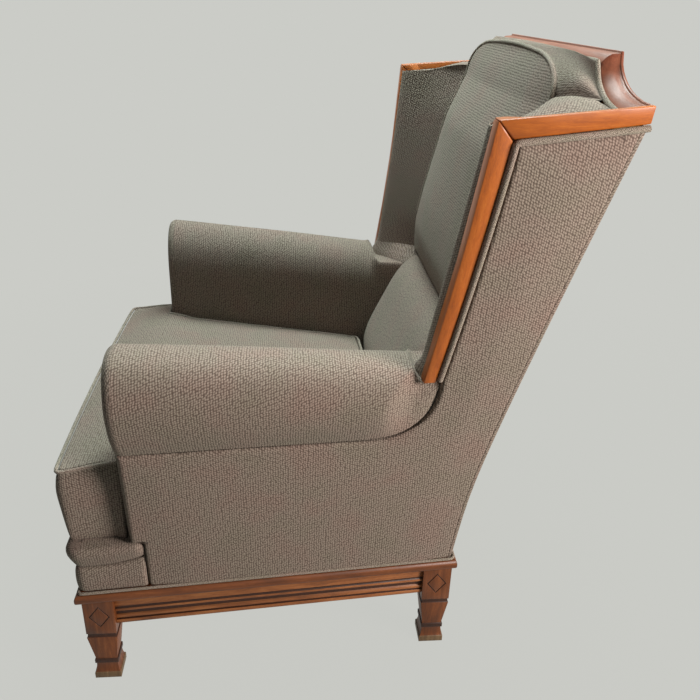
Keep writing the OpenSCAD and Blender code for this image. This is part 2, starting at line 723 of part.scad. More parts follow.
// Arm: padding over the arm rail, its section an inverted U given as shares of width and height.
// The second table is the flat section that carries the wing.
arm_round_shares = [
    [0, -1.05], [0, 0.1], [0, 0.5], [0.02, 0.68], [0.08, 0.84], [0.2, 0.95], [0.36, 1], [0.54, 1],
    [0.7, 0.97], [0.83, 0.9], [0.93, 0.78], [0.99, 0.62], [1, 0.48], [0.96, 0.3], [0.88, 0.14], [0.78, 0]
];
arm_flat_shares = [
    [0, -1.05], [0, 0.1], [0, 0.5], [0, 0.8], [0.02, 1], [0.12, 1], [0.3, 1], [0.5, 1],
    [0.64, 1], [0.74, 1], [0.8, 0.94], [0.82, 0.8], [0.83, 0.6], [0.82, 0.4], [0.8, 0.2], [0.78, 0]
];
arm_inner_shares = [
    [0, -1.05], [0, 0.1], [0, 0.35], [0.01, 0.5], [0.04, 0.58], [0.12, 0.62], [0.22, 0.64], [0.36, 0.65],
    [0.5, 0.64], [0.6, 0.6], [0.68, 0.5], [0.72, 0.4], [0.73, 0.3], [0.7, 0.2], [0.64, 0.1], [0.58, 0]
];
arm_row_shares = [0, 0.12, 0.28, 0.45, 0.6, 0.72, 0.8, 0.84, 0.87, 0.9, 0.95, 1];
// Share of the rows at which the arm's top has come down under the wing
arm_flat_share = 0.9;
wing_front_y = wing_y(wing_foot_z);
// How far ahead of the wing the arm turns flat, and how it fits behind the wing's edge
arm_flat_lead = 4;
arm_flat_y = wing_front_y - arm_flat_lead;
arm_blend = 28;
arm_rear_gap = 2;
arm_rear_d = 24;
arm_rear_out_y = edge_rear_y(wing_foot_z) + panel_edge_gap - arm_rear_gap;
arm_rear_in_y = min(arm_rear_out_y + arm_rear_d, frame_y(pads_low_z) - arm_rear_gap);
arm_rise = [[arm_start_y, arm_front_z],
    [lerp(arm_start_y, arm_flat_y, 0.38), lerp(arm_front_z, arm_rear_z, 0.32)],
    [arm_flat_y - arm_blend, arm_rear_z], [arm_flat_y, wing_foot_z - gap]];
function arm_top_z(y) = at(arm_rise, y);
function flatness(y) = ease(clamp01((y - arm_flat_y + arm_blend) / arm_blend));
function arm_out_x(y) = side_x(y, arm_seam_z) + arm_bulge;
arm_inner_w_share = 0.73;
curve_gap = 3;
function arm_base(j, y) =
    j < 10 ? arm_seam_z + gap : seam_z(y) + gap + curve_gap * clamp01((y - curve_y) / curve_gap);
function arm_z(v, j, y) = v < -1 ? pads_low_z : lerp(arm_base(j, y), arm_top_z(y), v);
function arm_y(j, s) =
    s <= arm_flat_share ? lerp(arm_start_y, arm_flat_y, s / arm_flat_share)
        : lerp(arm_flat_y, lerp(arm_rear_in_y, arm_rear_out_y, clamp01((j - 4) / 6)),
            (s - arm_flat_share) / (1 - arm_flat_share));
function arm_point(j, s) =
    let (y = arm_y(j, s), p = lerp(arm_round_shares[j], arm_flat_shares[j], flatness(y)))
    [arm_x(y) + (arm_out_x(y) - arm_x(y)) * p[0], y, arm_z(p[1], j, y)];
function arm_under(j, s) =
    let (y = arm_y(j, s), p = arm_inner_shares[j],
        inner_x = arm_x(y) + arm_pad_t,
        out_x = side_x(y, arm_seam_z) - skin_t - arm_bulge / 2)
    [lerp(inner_x, out_x, p[0] / arm_inner_w_share), y, arm_z(p[1], j, y)];
module arm_pad(side) {
    columns = [0 : len(arm_round_shares) - 1];
    color(fabric)
        both_sides(side)
            sheet([for (s = arm_row_shares) [for (j = columns) arm_point(j, s)]],
                [for (s = arm_row_shares) [for (j = columns) arm_under(j, s)]]);
}

// Rounded front of an arm, from the bolster up behind the cushion's ear to the top
arm_face_foot_z = bolster_top_z + gap;
arm_face_shares = [[0, 0], [0.5, 0.12], [0.85, 0.4], [1, 1]];
arm_face_round = 10;
function arm_face_outline() =
    let (y = arm_start_y, low = arm_seam_z + gap, inward = skin_t + 3 * gap)
    concat(
        [[arm_x(y), arm_face_foot_z]],
        [for (j = [2 : len(arm_round_shares) - 1]) let (p = arm_point(j, 0)) [p[0], p[2]]],
        [[side_x(y, low) - inward, low], [side_x(y, arm_face_foot_z) - inward, arm_face_foot_z]]
    );
module arm_front(side) {
    outline = arm_face_outline();
    centre = sum(outline) / len(outline);
    color(fabric)
        both_sides(side)
            loft([for (row = arm_face_shares)
                [for (p = outline)
                    let (q = p - unit(p - centre) * arm_face_round * row[1] * (row[1] + 1) / 2)
                    [q[0], arm_start_y - gap - (arm_face_d - gap) * row[0], q[1]]]],
                flat = true);
}

// Wooden stump and rail inside an arm
stump_w = 30;
stump_d = 44;
arm_rail_t = 24;
arm_rail_w = 34;
arm_rail_rise = 32;
arm_rail_z = arm_seam_z + arm_rail_rise;
stump_y = bolster_end_y + gap;
stump_x = max(arm_x(stump_y) + arm_pad_t, plan_x(stump_y, rail_inner_out)) + gap;
module arm_stump(side) {
    color(frame_wood)
        both_sides(side)
            translate([stump_x, stump_y, seat_rail_top_z])
                cube([stump_w, stump_d, arm_rail_z - seat_rail_top_z]);
}
module arm_rail(side) {
    low = arm_rail_z;
    color(frame_wood)
        both_sides(side)
            loft([for (y = [stump_y, post_front_y(low)])
                let (x = plan_x(y, rail_inner_out) + gap)
                    [[x, y, low], [x + arm_rail_w, y, low],
                        [x + arm_rail_w, y, low + arm_rail_t], [x, y, low + arm_rail_t]]]);
}

// Show-wood edge of a wing: up the front and back along the top, mitred at the corner
edge_rows = steps(8);
function edge_corner(y, z, inward) = [side_x(y, z) - inward, y, z];
function edge_front_ring(t) =
    let (zf = lerp(wing_foot_z, wing_z, t), zr = lerp(wing_foot_z, wing_z - edge_top_w, t),
        yf = wing_y(zf), yr = edge_rear_y(zr))
    [edge_corner(yf, zf, 0), edge_corner(yr, zr, 0),
        edge_corner(yr, zr, edge_t), edge_corner(yf, zf, edge_t)];
module wing_edge_front(side) {
    color(edge_wood) both_sides(side) loft([for (t = edge_rows) edge_front_ring(t)]);
}
mitre_gap = 0.2;
// Share of the top edge over which it stays as thick as the front edge
thick_share = 0.08;
function edge_top_ring(t) =
    let (yt = lerp(wing_top_y + mitre_gap, rear_y - crest_bead_out, t),
        yb = lerp(edge_rear_y(wing_z - edge_top_w) + mitre_gap, back_y(crest_foot_z), t),
        zt = wing_top_z(yt) + mitre_gap,
        zb = wing_top_z(yb) - lerp(edge_top_w, edge_rear_w, t),
        inward = t < 2 * thick_share ? edge_t : edge_top_t)
    [edge_corner(yt, zt, 0), edge_corner(yb, zb, 0),
        edge_corner(yb, zb, inward), edge_corner(yt, zt, inward)];
module wing_edge_top(side) {
    color(edge_wood)
        both_sides(side)
            loft([for (t = [0, thick_share, 2 * thick_share, 0.35, 0.55, 0.75, 1]) edge_top_ring(t)]);
}
wing_piping_out = wing_piping_d / 2 - skin_t / 2;
wing_piping_turn = 3;
function wing_piping_path() =
    let (off = wing_piping_d / 2 + gap, corner_y = edge_rear_y(panel_top_z(wing_top_y)) + off,
        corner_z = panel_top_z(corner_y) + off)
    concat(
        [for (t = [0, 0.2, 0.4, 0.6, 0.8, 1])
            let (z = lerp(wing_foot_z + off, corner_z - wing_piping_turn, t))
                edge_corner(edge_rear_y(z) + off, z, -wing_piping_out)],
        [for (t = [0, 0.15, 0.4, 0.7, 1])
            let (y = lerp(corner_y + wing_piping_turn, panel_rear_y(crest_foot_z), t))
                edge_corner(y, panel_top_z(y) + off, -wing_piping_out)]
    );
module wing_piping(side) {
    color(piping_tan) both_sides(side) tube(wing_piping_path(), wing_piping_d, [1, 0, 0], 8);
}

// Back pad: an arch-topped pad, its front crowned between the piped edges
back_pad_foot_z = lumbar_top_z + gap;
back_pad_top_z = overall_h - back_pad_drop;
back_pad_depths = [[0, back_pad_foot_d], [0.14, lerp(back_pad_foot_d, back_pad_mid_d, 0.8)],
    [0.3, back_pad_mid_d], [0.66, back_pad_mid_d], [0.88, back_pad_top_d], [1, 0.7 * back_pad_top_d]];
function back_pad_share(z) = (z - back_pad_foot_z) / (back_pad_top_z - back_pad_foot_z);
function back_pad_edge_y(z) = pad_rear_y(z) - at(back_pad_depths, back_pad_share(z));
back_arch = 4;
back_foot_r = 12;
back_corner_n = 6;
back_side_shares = [0.2, 0.4, 0.6, 0.8, 1];
back_half = let (w = back_pad_w / 2, a = back_pad_corner_w, b = back_pad_corner_h,
    low = back_pad_foot_z, high = back_pad_top_z - back_arch)
    concat(
        [[0, low], [w * 0.5, low], [w - back_foot_r, low], [w, low + back_foot_r]],
        [for (t = back_side_shares) [w, lerp(low, crest_foot_z, t)]],
        [for (t = steps(back_corner_n)) [w - a * (1 - cos(80 * t)), high - b * (1 - sin(80 * t))]],
        [for (t = [0.75, 0.4, 0]) [(w - a) * t, high + back_arch * (1 - t * t)]]
    );
// The rear of the pad spreads over the tops of the wing pads and follows the crest
back_foot_n = 4;
back_corner_i = back_foot_n + len(back_side_shares);
function crest_nose_z(x) = crest_z(x) - crest_nose_drop;
function back_rear_half(i) =
    let (p = back_half[i], t = (i - back_corner_i) / back_corner_n,
        x = (crest_mid_w + crest_curve_w * 0.84 * pow(max(0, 1 - t), 1.5)) / 2)
    i <= back_corner_i ? [p[0], back_seat_y(p[1]), p[1]]
        : t <= 1 ? [x, back_seat_y(p[1]), crest_nose_z(x)]
        : [crest_mid_w / 2 * p[0] / (back_pad_w / 2 - back_pad_corner_w), back_seat_y(p[1]), crest_nose_z(0)];
back_rear = let (half = [for (i = [0 : len(back_half) - 1]) back_rear_half(i)])
    concat(half, [for (i = [len(half) - 2 : -1 : 1]) [-half[i][0], half[i][1], half[i][2]]]);
back_outline = concat(back_half, [for (i = [len(back_half) - 2 : -1 : 1]) mirror_x(back_half[i])]);
back_centre = [0, (back_pad_foot_z + back_pad_top_z) / 2];
function back_seat_y(z) =
    z > crest_foot_z + back_step ? crest_front_y - crest_piping_d - 2 * gap : pad_rear_y(z);
function back_crown(x, z) =
    back_pad_crown * (1 - pow(clamp01(abs(2 * x / back_pad_w)), 3))
        * (1 - pow(clamp01(abs(2 * back_pad_share(z) - 1)), 4));
function back_scaled(s) = [for (p = back_outline) back_centre + s * (p - back_centre)];
module back_pad() {
    color(fabric)
        loft(concat(
            [[for (p = back_scaled(0.6)) [p[0], pad_rear_y(p[1]), p[1]]]],
            [[for (p = back_scaled(0.93)) let (z = min(p[1], crest_foot_z)) [p[0], pad_rear_y(z), z]]],
            [[for (p = back_scaled(0.94)) [p[0], back_seat_y(p[1]), p[1]]]],
            [back_rear],
            [[for (p = back_outline) [p[0], back_pad_edge_y(p[1]) + piping_d, p[1]]]],
            [for (s = [0.97, 0.86, 0.68, 0.45, 0.2])
                [for (i = [0 : len(back_outline) - 1])
                    let (p = back_scaled(s)[i], edge = back_outline[i])
                        [p[0], back_pad_edge_y(p[1]) - back_crown(p[0], p[1]), p[1]]]]
        ));
}
// The piping runs up the sides and over the arch, and stops at the seam above the lumbar pad
module back_pad_piping() {
    half = [for (i = [back_foot_n : len(back_half) - 1]) back_half[i]];
    all = concat(half, [for (i = [len(half) - 2 : -1 : 0]) mirror_x(half[i])]);
    color(piping_tan)
        tube([for (p = all) [p[0], back_pad_edge_y(p[1]) + piping_d / 10, p[1]]], piping_d, [0, -1, 0], 6);
}

// Lumbar pad: fills the back between the arms, swelling towards the sitter
lumbar_recede = 117;
lumbar_shares = [[0, 0.3], [0.05, 0.2], [0.13, 0.13], [0.215, 0.077], [0.29, 0.026], [0.4, 0], [0.5, 0.068],
    [0.61, 0.197], [0.73, 0.35], [0.857, 0.52], [0.93, 0.667], [0.975, 0.82], [1, 1]];
function lumbar_y(z) =
    lumbar_nose_y + lumbar_recede * at(lumbar_shares, (z - pads_low_z) / (lumbar_top_z - pads_low_z));
lumbar_edge_round = 14;
function lumbar_x(y) = arm_x(y) - gap;
module lumbar_pad() {
    across = [-1, -0.96, -0.85, -0.6, -0.3, 0, 0.3, 0.6, 0.85, 0.96, 1];
    color(fabric)
        loft([for (row = lumbar_shares)
            let (z = lerp(pads_low_z, lumbar_top_z, row[0]), front = lumbar_y(z), rear = pad_rear_y(z))
                concat(
                    [for (u = across)
                        let (y = front + lumbar_edge_round * pow(abs(u), 8)) [u * lumbar_x(y), y, z]],
                    [for (u = [1, 0, -1]) [u * lumbar_x(rear), rear, z]])]);
}

// Wing pad: a wedge in plan that fills between the wing and the back pad
wing_pad_bulge = 5;
wing_pad_hollow = 9;
wing_pad_setback = 1.5;
wing_tuck = 20;
strip_low_z = wing_z - edge_top_w - gap;
thick_end_y = lerp(edge_rear_y(wing_z - edge_top_w), back_y(crest_foot_z), 2 * thick_share) + gap;
function wing_seat_x(z, y) = z < lumbar_top_z ? arm_x(y) : back_pad_w / 2 + gap;
function wing_seat_y(z) = (z < lumbar_top_z ? lumbar_y(z) : back_pad_edge_y(z)) + wing_tuck;
function wing_point(z, k) =
    let (yw = wing_y(z) + wing_pad_setback,
        ya = z > strip_low_z ? thick_end_y : edge_rear_y(z) + panel_edge_gap,
        yr = z < wing_z - wing_pad_drop ? pad_rear_y(z) : crest_front_y - crest_piping_d - 2 * gap,
        yq = wing_seat_y(z), bulge = lerp(wing_pad_bulge, -wing_pad_hollow, pow(clamp01(wing_share(z)), 2)),
        thin = max(skin_t, edge_top_t) + gap,
        a = [side_x(yw, z) - edge_t - gap, yw], q = [wing_seat_x(z, yq), yq])
    k == 0 ? [side_x(ya, z) - thin, ya]
    : k == 1 ? [side_x(ya, z) - edge_t - gap, ya]
    : k <= 8 ? let (u = (k - 2) / 6, n = unit([q[1] - a[1], a[0] - q[0]]))
        lerp(a, q, u) - n * bulge * 4 * u * (1 - u)
    : k == 9 ? [wing_seat_x(z, yr), yr]
    : k == 10 ? [lerp(wing_seat_x(z, yr), side_x(yr, z) - thin, 0.5), yr]
    : [side_x(yr, z) - thin, yr];
function wing_ring(z) =
    [for (k = [0 : 11])
        let (p = wing_point(z, k), rise = clamp01((z - lumbar_top_z) / (wing_z - lumbar_top_z)))
            [p[0], p[1], z + (wing_top_z(p[1]) - wing_z) * rise]];
wing_pad_drop = 5;
wing_pad_crown = 4;
wing_pad_heights = concat(
    [wing_foot_z + gap, lumbar_top_z + gap, lumbar_top_z + 3 * gap],
    [for (t = [0.2, 0.4, 0.6, 0.8, 1]) lerp(lumbar_top_z, strip_low_z, t)],
    [strip_low_z + gap, strip_low_z + wing_piping_d, wing_z - wing_pad_drop]
);
module wing_pad(side) {
    body = [for (z = wing_pad_heights) wing_ring(z)];
    last = body[len(body) - 1];
    c = mean(last);
    color(fabric)
        both_sides(side)
            loft(concat(body, [for (s = [[0.94, 0.4], [0.7, 1]])
                [for (p = last) c + s[0] * (p - c) + [0, 0, s[1] * wing_pad_crown]]]));
}

// Wooden frame of the back
post_in = skin_t + 2 * gap;
post_step_shares = [0, 0.08, 0.25, 0.45, 0.63, 0.82, 1];
function post_front_y(z) = frame_y(z);
function post_rear_y(z) = back_y(z) - outside_back_t - gap;
module back_post(side) {
    color(frame_wood)
        both_sides(side)
            loft([for (z = concat([seat_rail_top_z],
                [for (t = post_step_shares) lerp(bend_z, crest_foot_z - gap, t)]))
                let (a = post_front_y(z), b = post_rear_y(z))
                    [for (p = [[a, 0], [b, 0], [b, post_w], [a, post_w]])
                        [side_x(p[0], z) - max(post_in, edge_top_t + gap) - p[1], p[0], z]]]);
}
rail_h = 46;
module back_rail(low) {
    color(frame_wood)
        loft([for (side = [-1, 1])
            [for (q = [[low, 0], [low + rail_h, 0], [low + rail_h, 1], [low, 1]])
                let (y = q[1] == 0 ? post_front_y(q[0]) : post_rear_y(q[0]))
                    [side * (side_x(y, q[0]) - max(post_in, edge_top_t + gap) - post_w - rail_end_gap),
                        y, q[0]]]]);
}
rail_end_gap = 0.2;
bottom_rail_z = platform_z + platform_t + 3 * gap;
top_rail_z = crest_foot_z - gap - rail_h;
webbing_z = concat([bottom_rail_z], [for (t = steps(10)) lerp(bottom_rail_z + rail_h, top_rail_z, t)],
    [top_rail_z + rail_h]);
module back_webbing() {
    half = back_pad_w / 2 - wing_tuck * 2;
    color("#b9a98a")
        sheet([for (z = webbing_z) [for (u = [-1, 0, 1]) [u * half, frame_y(z) - webbing_t, z]]],
            [for (z = webbing_z) [for (u = [-1, 0, 1]) [u * half, frame_y(z) - gap / 2, z]]]);
}

// Outside back: a flat padded panel from the plinth up to the crest
module outside_back() {
    rows = [for (t = steps(14)) lerp(band_z, crest_foot_z - gap, t)];
    across = [-1, -0.5, 0, 0.5, 1];
    function half(z) = side_x(back_y(z), z) - panel_in - (z > wing_z - 2 * edge_top_w ? edge_top_t : 0);
    color(fabric)
        sheet([for (z = rows) [for (u = across) [u * half(z), back_y(z), z]]],
            [for (z = rows) [for (u = across) [u * half(z), back_y(z) - outside_back_t, z]]]);
}

// Crest: a moulding with a rounded nose, a shallow cove and a bead along the rear
crest_section_shares = [[0, 1.12], [0.03, 1.02], [0.12, 0.8], [0.28, 0.5], [0.45, 0.3], [0.6, 0.26],
    [0.74, 0.24], [0.85, 0.2], [0.87, 0.04], [0.93, 0], [1, 0.06]];
crest_edge_h = crest_end_z - crest_foot_z;
function crest_z(x) =
    let (u = clamp01((x - crest_mid_w / 2) / crest_curve_w))
    crest_end_z + crest_curve_h * (1 - sqrt(1 - pow(1 - u, 2)));
function crest_ring(x) =
    let (top = crest_z(x))
    concat([[x, crest_front_y, crest_foot_z]],
        [for (s = crest_section_shares) [x, crest_front_y + crest_d * s[0], top - crest_nose_drop * s[1]]],
        [[x, crest_front_y + crest_d, crest_foot_z]]);
// The crest's outer end lies along the wing's show-wood edge
crest_end_x = side_x(rear_y, crest_end_z) - edge_top_t - gap;
crest_end_run = (side_x(crest_front_y, crest_end_z) - side_x(rear_y, crest_end_z)) / crest_d;
crest_end_rise = (side_x(rear_y, crest_end_z) - side_x(rear_y, crest_foot_z)) / crest_edge_h;
function crest_end_ring() =
    [for (p = crest_ring(crest_end_x))
        [p[0] + crest_end_run * (rear_y - p[1]) - crest_end_rise * (crest_end_z - p[2]), p[1], p[2]]];
crest_step_shares = [0, 0.04, 0.1, 0.18, 0.28, 0.4, 0.55, 0.75];
module crest_middle() {
    color(crest_wood)
        loft([for (side = [-1, 1])
            [for (p = crest_ring(crest_mid_w / 2)) [side * (p[0] - gap / 2), p[1], p[2]]]],
            flat = true);
}
module crest_end(side) {
    color(crest_wood)
        both_sides(side)
            loft(concat([for (s = crest_step_shares) crest_ring(lerp(crest_mid_w / 2, crest_end_x, s))],
                [crest_end_ring()]), flat = true);
}
crest_piping_y = crest_front_y - gap - crest_piping_d / 2;
module crest_piping() {
    half = [for (s = [0.9, 0.75, 0.6, 0.45, 0.3, 0.18, 0.08, 0]) lerp(crest_mid_w / 2, crest_end_x, s)];
    path = concat(
        [for (x = half) [x, crest_piping_y, crest_nose_z(x)]],
        [for (t = [0.8, 0.4, 0, -0.4, -0.8]) [t * crest_mid_w / 2, crest_piping_y, crest_nose_z(0)]],
        [for (x = flip(half)) [-x, crest_piping_y, crest_nose_z(x)]]
    );
    color(piping_tan) tube(path, crest_piping_d, [0, -1, 0], 8);
}

leg(front_leg_x, front_leg_y);  // leg_front_left
leg(-front_leg_x, front_leg_y);  // leg_front_right
leg(rear_leg_x, rear_leg_y);  // leg_rear_left
leg(-rear_leg_x, rear_leg_y);  // leg_rear_right
cross_apron(front_leg_x, leg_front_y, -1);  // apron_front
cross_apron(rear_leg_x, leg_rear_y, 1);  // apron_rear
side_apron(1);  // apron_left
side_apron(-1);  // apron_right
color(dark_wood) front_member(plinth_section);  // plinth_front
color(dark_wood) rear_member(plinth_section);  // plinth_rear
color(dark_wood) side_member(plinth_section, 1);  // plinth_left
color(dark_wood) side_member(plinth_section, -1);  // plinth_right
base_piping();
color(frame_wood) front_member(rail_section);  // seat_rail_front
color(frame_wood) rear_member(rail_section);  // seat_rail_rear
color(frame_wood) side_member(rail_section, 1);  // seat_rail_left
color(frame_wood) side_member(rail_section, -1);  // seat_rail_right
corner_blocks();
frame_screws();
seat_springs();
spring_clips();
seat_platform();
dust_cover();
color(fabric) front_wrap(band_section);  // front_band
color(fabric) front_wrap(bolster_section);  // front_bolster
seat_cushion();
seat_piping();
arm_pad(1);  // arm_pad_left
arm_pad(-1);  // arm_pad_right
arm_front(1);  // arm_front_left
arm_front(-1);  // arm_front_right
arm_stump(1);  // arm_stump_left
arm_stump(-1);  // arm_stump_right
arm_rail(1);  // arm_rail_left
arm_rail(-1);  // arm_rail_right
outside_panel(1);  // outside_panel_left
outside_panel(-1);  // outside_panel_right
wing_edge_front(1);  // wing_edge_front_left
wing_edge_front(-1);  // wing_edge_front_right
wing_edge_top(1);  // wing_edge_top_left
wing_edge_top(-1);  // wing_edge_top_right
wing_pad(1);  // wing_pad_left
wing_pad(-1);  // wing_pad_right
wing_piping(1);  // wing_piping_left
wing_piping(-1);  // wing_piping_right
back_post(1);  // back_post_left
back_post(-1);  // back_post_right
back_rail(top_rail_z);  // back_top_rail
back_rail(bottom_rail_z);  // back_bottom_rail
back_webbing();
back_pad();
back_pad_piping();
lumbar_pad();
outside_back();
crest_middle();
crest_end(1);  // crest_end_left
crest_end(-1);  // crest_end_right
crest_piping();
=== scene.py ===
"""A fireside chair dressed over its CAD frame: padded fabric pieces, lacquered wood, studio and camera."""
import math
from functools import partial

import bmesh
import bpy
import numpy as np
from mathutils import Matrix, Vector


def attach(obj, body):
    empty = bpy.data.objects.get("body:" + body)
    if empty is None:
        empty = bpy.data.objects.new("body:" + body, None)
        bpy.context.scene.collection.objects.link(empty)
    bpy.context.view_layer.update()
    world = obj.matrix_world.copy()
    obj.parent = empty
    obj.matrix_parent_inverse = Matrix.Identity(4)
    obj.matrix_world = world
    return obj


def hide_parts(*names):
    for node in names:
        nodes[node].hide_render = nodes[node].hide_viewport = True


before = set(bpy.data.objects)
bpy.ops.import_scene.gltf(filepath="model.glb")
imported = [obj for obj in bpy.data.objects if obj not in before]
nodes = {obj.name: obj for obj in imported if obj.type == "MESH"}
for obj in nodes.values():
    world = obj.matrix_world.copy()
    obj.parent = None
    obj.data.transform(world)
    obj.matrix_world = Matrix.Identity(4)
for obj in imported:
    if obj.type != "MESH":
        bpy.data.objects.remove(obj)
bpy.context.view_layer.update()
MM = 0.001
WELD = 0.02 * MM

# Sizes of the chair in millimetres, as in the part's source
overall_w = 844
overall_d = 838
overall_h = 1072
front_w = 690
rear_w = 583
front_setback = 21
back_rake = math.radians(13.5)
post_rake = math.radians(5.7)
bend_z = 364
bend_r = 80
gap = 0.4
leg_w = 52
leg_h = 186
rear_leg_out = 3.5
plinth_z = 203
base_piping_d = 5.4
band_z = plinth_z + base_piping_d
bolster_z = band_z + 51
bolster_top_z = bolster_z + 46
bolster_out = 13
bolster_return = 113
seat_rail_in = 12
pads_low_z = 303.8
cushion_z = 305.8
cushion_edge_z = 444.8
cushion_crown = 16
cushion_ear_rise = 11
cushion_rear_drop = 28
cushion_rear_gap = 3.5
cushion_corner_r = 14
cushion_bow = 6
cushion_out = -5
ear_len = 109
arm_inset = 70
arm_pad_t = 28
arm_bulge = 28
arm_face_d = 14
arm_front_z = 662
arm_side_gap = 1.5
side_spread = 70
wing_drop = 74
wing_z = overall_h - wing_drop
wing_foot_z = 598
wing_lead = 51
wing_bow = 5
wing_draw = 9
wing_top_d = 207
wing_piping_d = 9
edge_t = 24
edge_foot_w = 20
edge_top_t = 10
edge_top_w = 26
edge_rear_w = 23
outside_back_t = 6
back_frame_d = 38
back_step = 8
webbing_t = 2
lumbar_nose_z = 432
lumbar_depth = 115
crest_foot_z = overall_h - 76
crest_level_x = 272
crest_curve_w = 113
crest_curve_h = 56
crest_end_z = overall_h - crest_curve_h
crest_d = 30
crest_bead_out = 1
crest_piping_d = 8

front_y = -overall_d / 2
rear_y = overall_d / 2
leg_front_y = front_y + front_setback
front_leg_y = leg_front_y + leg_w / 2
crest_front_y = rear_y - crest_d
crest_pad_y = crest_front_y - crest_piping_d - 2 * gap
back_rear_y = rear_y - crest_bead_out


def lerp(a, b, t):
    return a + (b - a) * t


def clamp(t):
    return np.clip(t, 0, 1)


def ease(t):
    return t * t * (3 - 2 * t)


def at(table, u):
    places, values = zip(*table)
    return np.interp(u, places, values)


def cosine_steps(n):
    """Steps from 0 to 1, close together at both ends."""
    return (1 - np.cos(np.linspace(0, math.pi, n))) / 2


def rounded(table, u, reach):
    """Value of a table with its corners eased over a reach to each side."""
    return np.mean([at(table, u + reach * k) for k in (-1, -0.6, -0.2, 0.2, 0.6, 1)], axis=0)


# The rear line of the chair, its tapered plan and its flared sides
def soft_rise(u):
    return (u + np.sqrt(u * u + bend_r * bend_r)) / 2


def back_run(z):
    bend = math.tan(back_rake) - math.tan(post_rake)
    return (z - bend_z) * math.tan(post_rake) + bend * soft_rise(z - bend_z)


def back_y(z):
    return back_rear_y + back_run(np.minimum(z, crest_foot_z)) - back_run(crest_foot_z)


leg_rear_y = back_y(plinth_z) + rear_leg_out
rear_leg_y = leg_rear_y - leg_w / 2
taper_share = (rear_w - front_w) / 2 / (rear_leg_y - front_leg_y)
taper = -math.atan(taper_share)


def half_w(y):
    return front_w / 2 + (y - front_leg_y) * taper_share


def plan_x(y, out):
    return half_w(y) + out / math.cos(taper)


wing_top_y = rear_y - wing_top_d
side_flare = overall_w / 2 - half_w(wing_top_y) - side_spread


def wing_share(z):
    return (z - wing_foot_z) / (wing_z - wing_foot_z)


def wing_y(z):
    s = wing_share(z)
    return wing_top_y - wing_lead * (1 - s) + 4 * wing_bow * s * (1 - s)


def side_x(y, z):
    rise = (z - plinth_z) / (wing_z - plinth_z)
    draw_in = wing_draw * rise ** 2 * np.maximum(0, (y - wing_top_y) / wing_top_d) ** 2
    return half_w(y) + side_spread * rise + side_flare * rise ** 2 - draw_in


def arm_x(y):
    return half_w(y) - arm_inset


def wing_top_z(y):
    return wing_z + (crest_end_z - wing_z) * (y - wing_top_y) / wing_top_d


def edge_w(z):
    return lerp(edge_foot_w, edge_top_w, wing_share(z))


def edge_rear_y(z):
    return wing_y(z) + edge_w(z)


def edge_low_z(y):
    return wing_top_z(y) - lerp(edge_top_w, edge_rear_w, (y - wing_top_y) / wing_top_d)


panel_edge_gap = wing_piping_d + 3 * gap


def panel_top_z(y):
    return edge_low_z(y) - panel_edge_gap


def panel_rear_y(z):
    return back_y(z) - outside_back_t - gap


def frame_y(z):
    return panel_rear_y(z) - back_frame_d


def pad_rear_y(z):
    return frame_y(z) - webbing_t - gap


def back_seat_y(z):
    return np.where(z > crest_foot_z + back_step, crest_pad_y, pad_rear_y(z))


def crest_z(x):
    u = clamp((np.abs(x) - crest_level_x) / crest_curve_w)
    return crest_end_z + crest_curve_h * (1 - np.sqrt(1 - (1 - u) ** 2))


# Seat cushion: a T in plan, crowned between its piped edges
lumbar_nose_y = frame_y(lumbar_nose_z) - lumbar_depth
cushion_rear_y = lumbar_nose_y - cushion_rear_gap
ear_rear_y = front_y + ear_len


def cushion_body_x(y):
    return arm_x(y) - arm_side_gap


def arc(centre, r, a, b, n):
    turns = np.linspace(a, b, n)
    return [(centre[0] + r * math.cos(t), centre[1] + r * math.sin(t)) for t in turns]


def cushion_outline():
    """Points round the cushion in plan, evenly spaced, from the middle of the front by the left side."""
    side_y = front_y + cushion_bow
    corner = (plan_x(side_y, cushion_out), side_y)
    ear = (plan_x(ear_rear_y, cushion_out), ear_rear_y)
    throat = (cushion_body_x(ear_rear_y), ear_rear_y)
    rear = (cushion_body_x(cushion_rear_y), cushion_rear_y)
    r = cushion_corner_r
    half = [(corner[0] * t, side_y - cushion_bow * (1 - t * t)) for t in np.linspace(0, 0.92, 12)]
    half += arc((corner[0] - r, side_y + r), r, -math.pi / 2, taper, 8)
    half += arc((ear[0] - r / 2, ear[1] - r / 2), r / 2, taper, math.pi / 2, 6)
    half += [(throat[0] + 6, throat[1]), (throat[0] + 1.5, throat[1] + 1.5), (throat[0], throat[1] + 6)]
    half += arc((rear[0] - r, rear[1] - r), r, taper, math.pi / 2, 8)
    return mirrored_ring(half + [(0, cushion_rear_y)], 6)


def mirrored_ring(half, spacing):
    return even_ring(np.array(half + [(-x, y) for x, y in half[-2:0:-1]]), spacing)


def even_ring(path, spacing):
    loop = np.vstack([path, path[:1]])
    run = np.concatenate([[0], np.cumsum(np.linalg.norm(np.diff(loop, axis=0), axis=1))])
    steps = np.linspace(0, run[-1], max(int(run[-1] / spacing), 8), endpoint=False)
    return np.stack([np.interp(steps, run, loop[:, k]) for k in range(path.shape[1])], axis=1)


def inset_ring(path, d):
    way = np.roll(path, -1, axis=0) - np.roll(path, 1, axis=0)
    way /= np.linalg.norm(way, axis=1)[:, None]
    return path - np.asarray(d).reshape(-1, 1) * np.stack([way[:, 1], -way[:, 0]], axis=1)


def crown_half_w(y):
    ear_x = plan_x(front_y + cushion_bow, cushion_out)
    return lerp(ear_x, cushion_body_x(y), ease(clamp((y - ear_rear_y) / (cushion_corner_r * 4))))


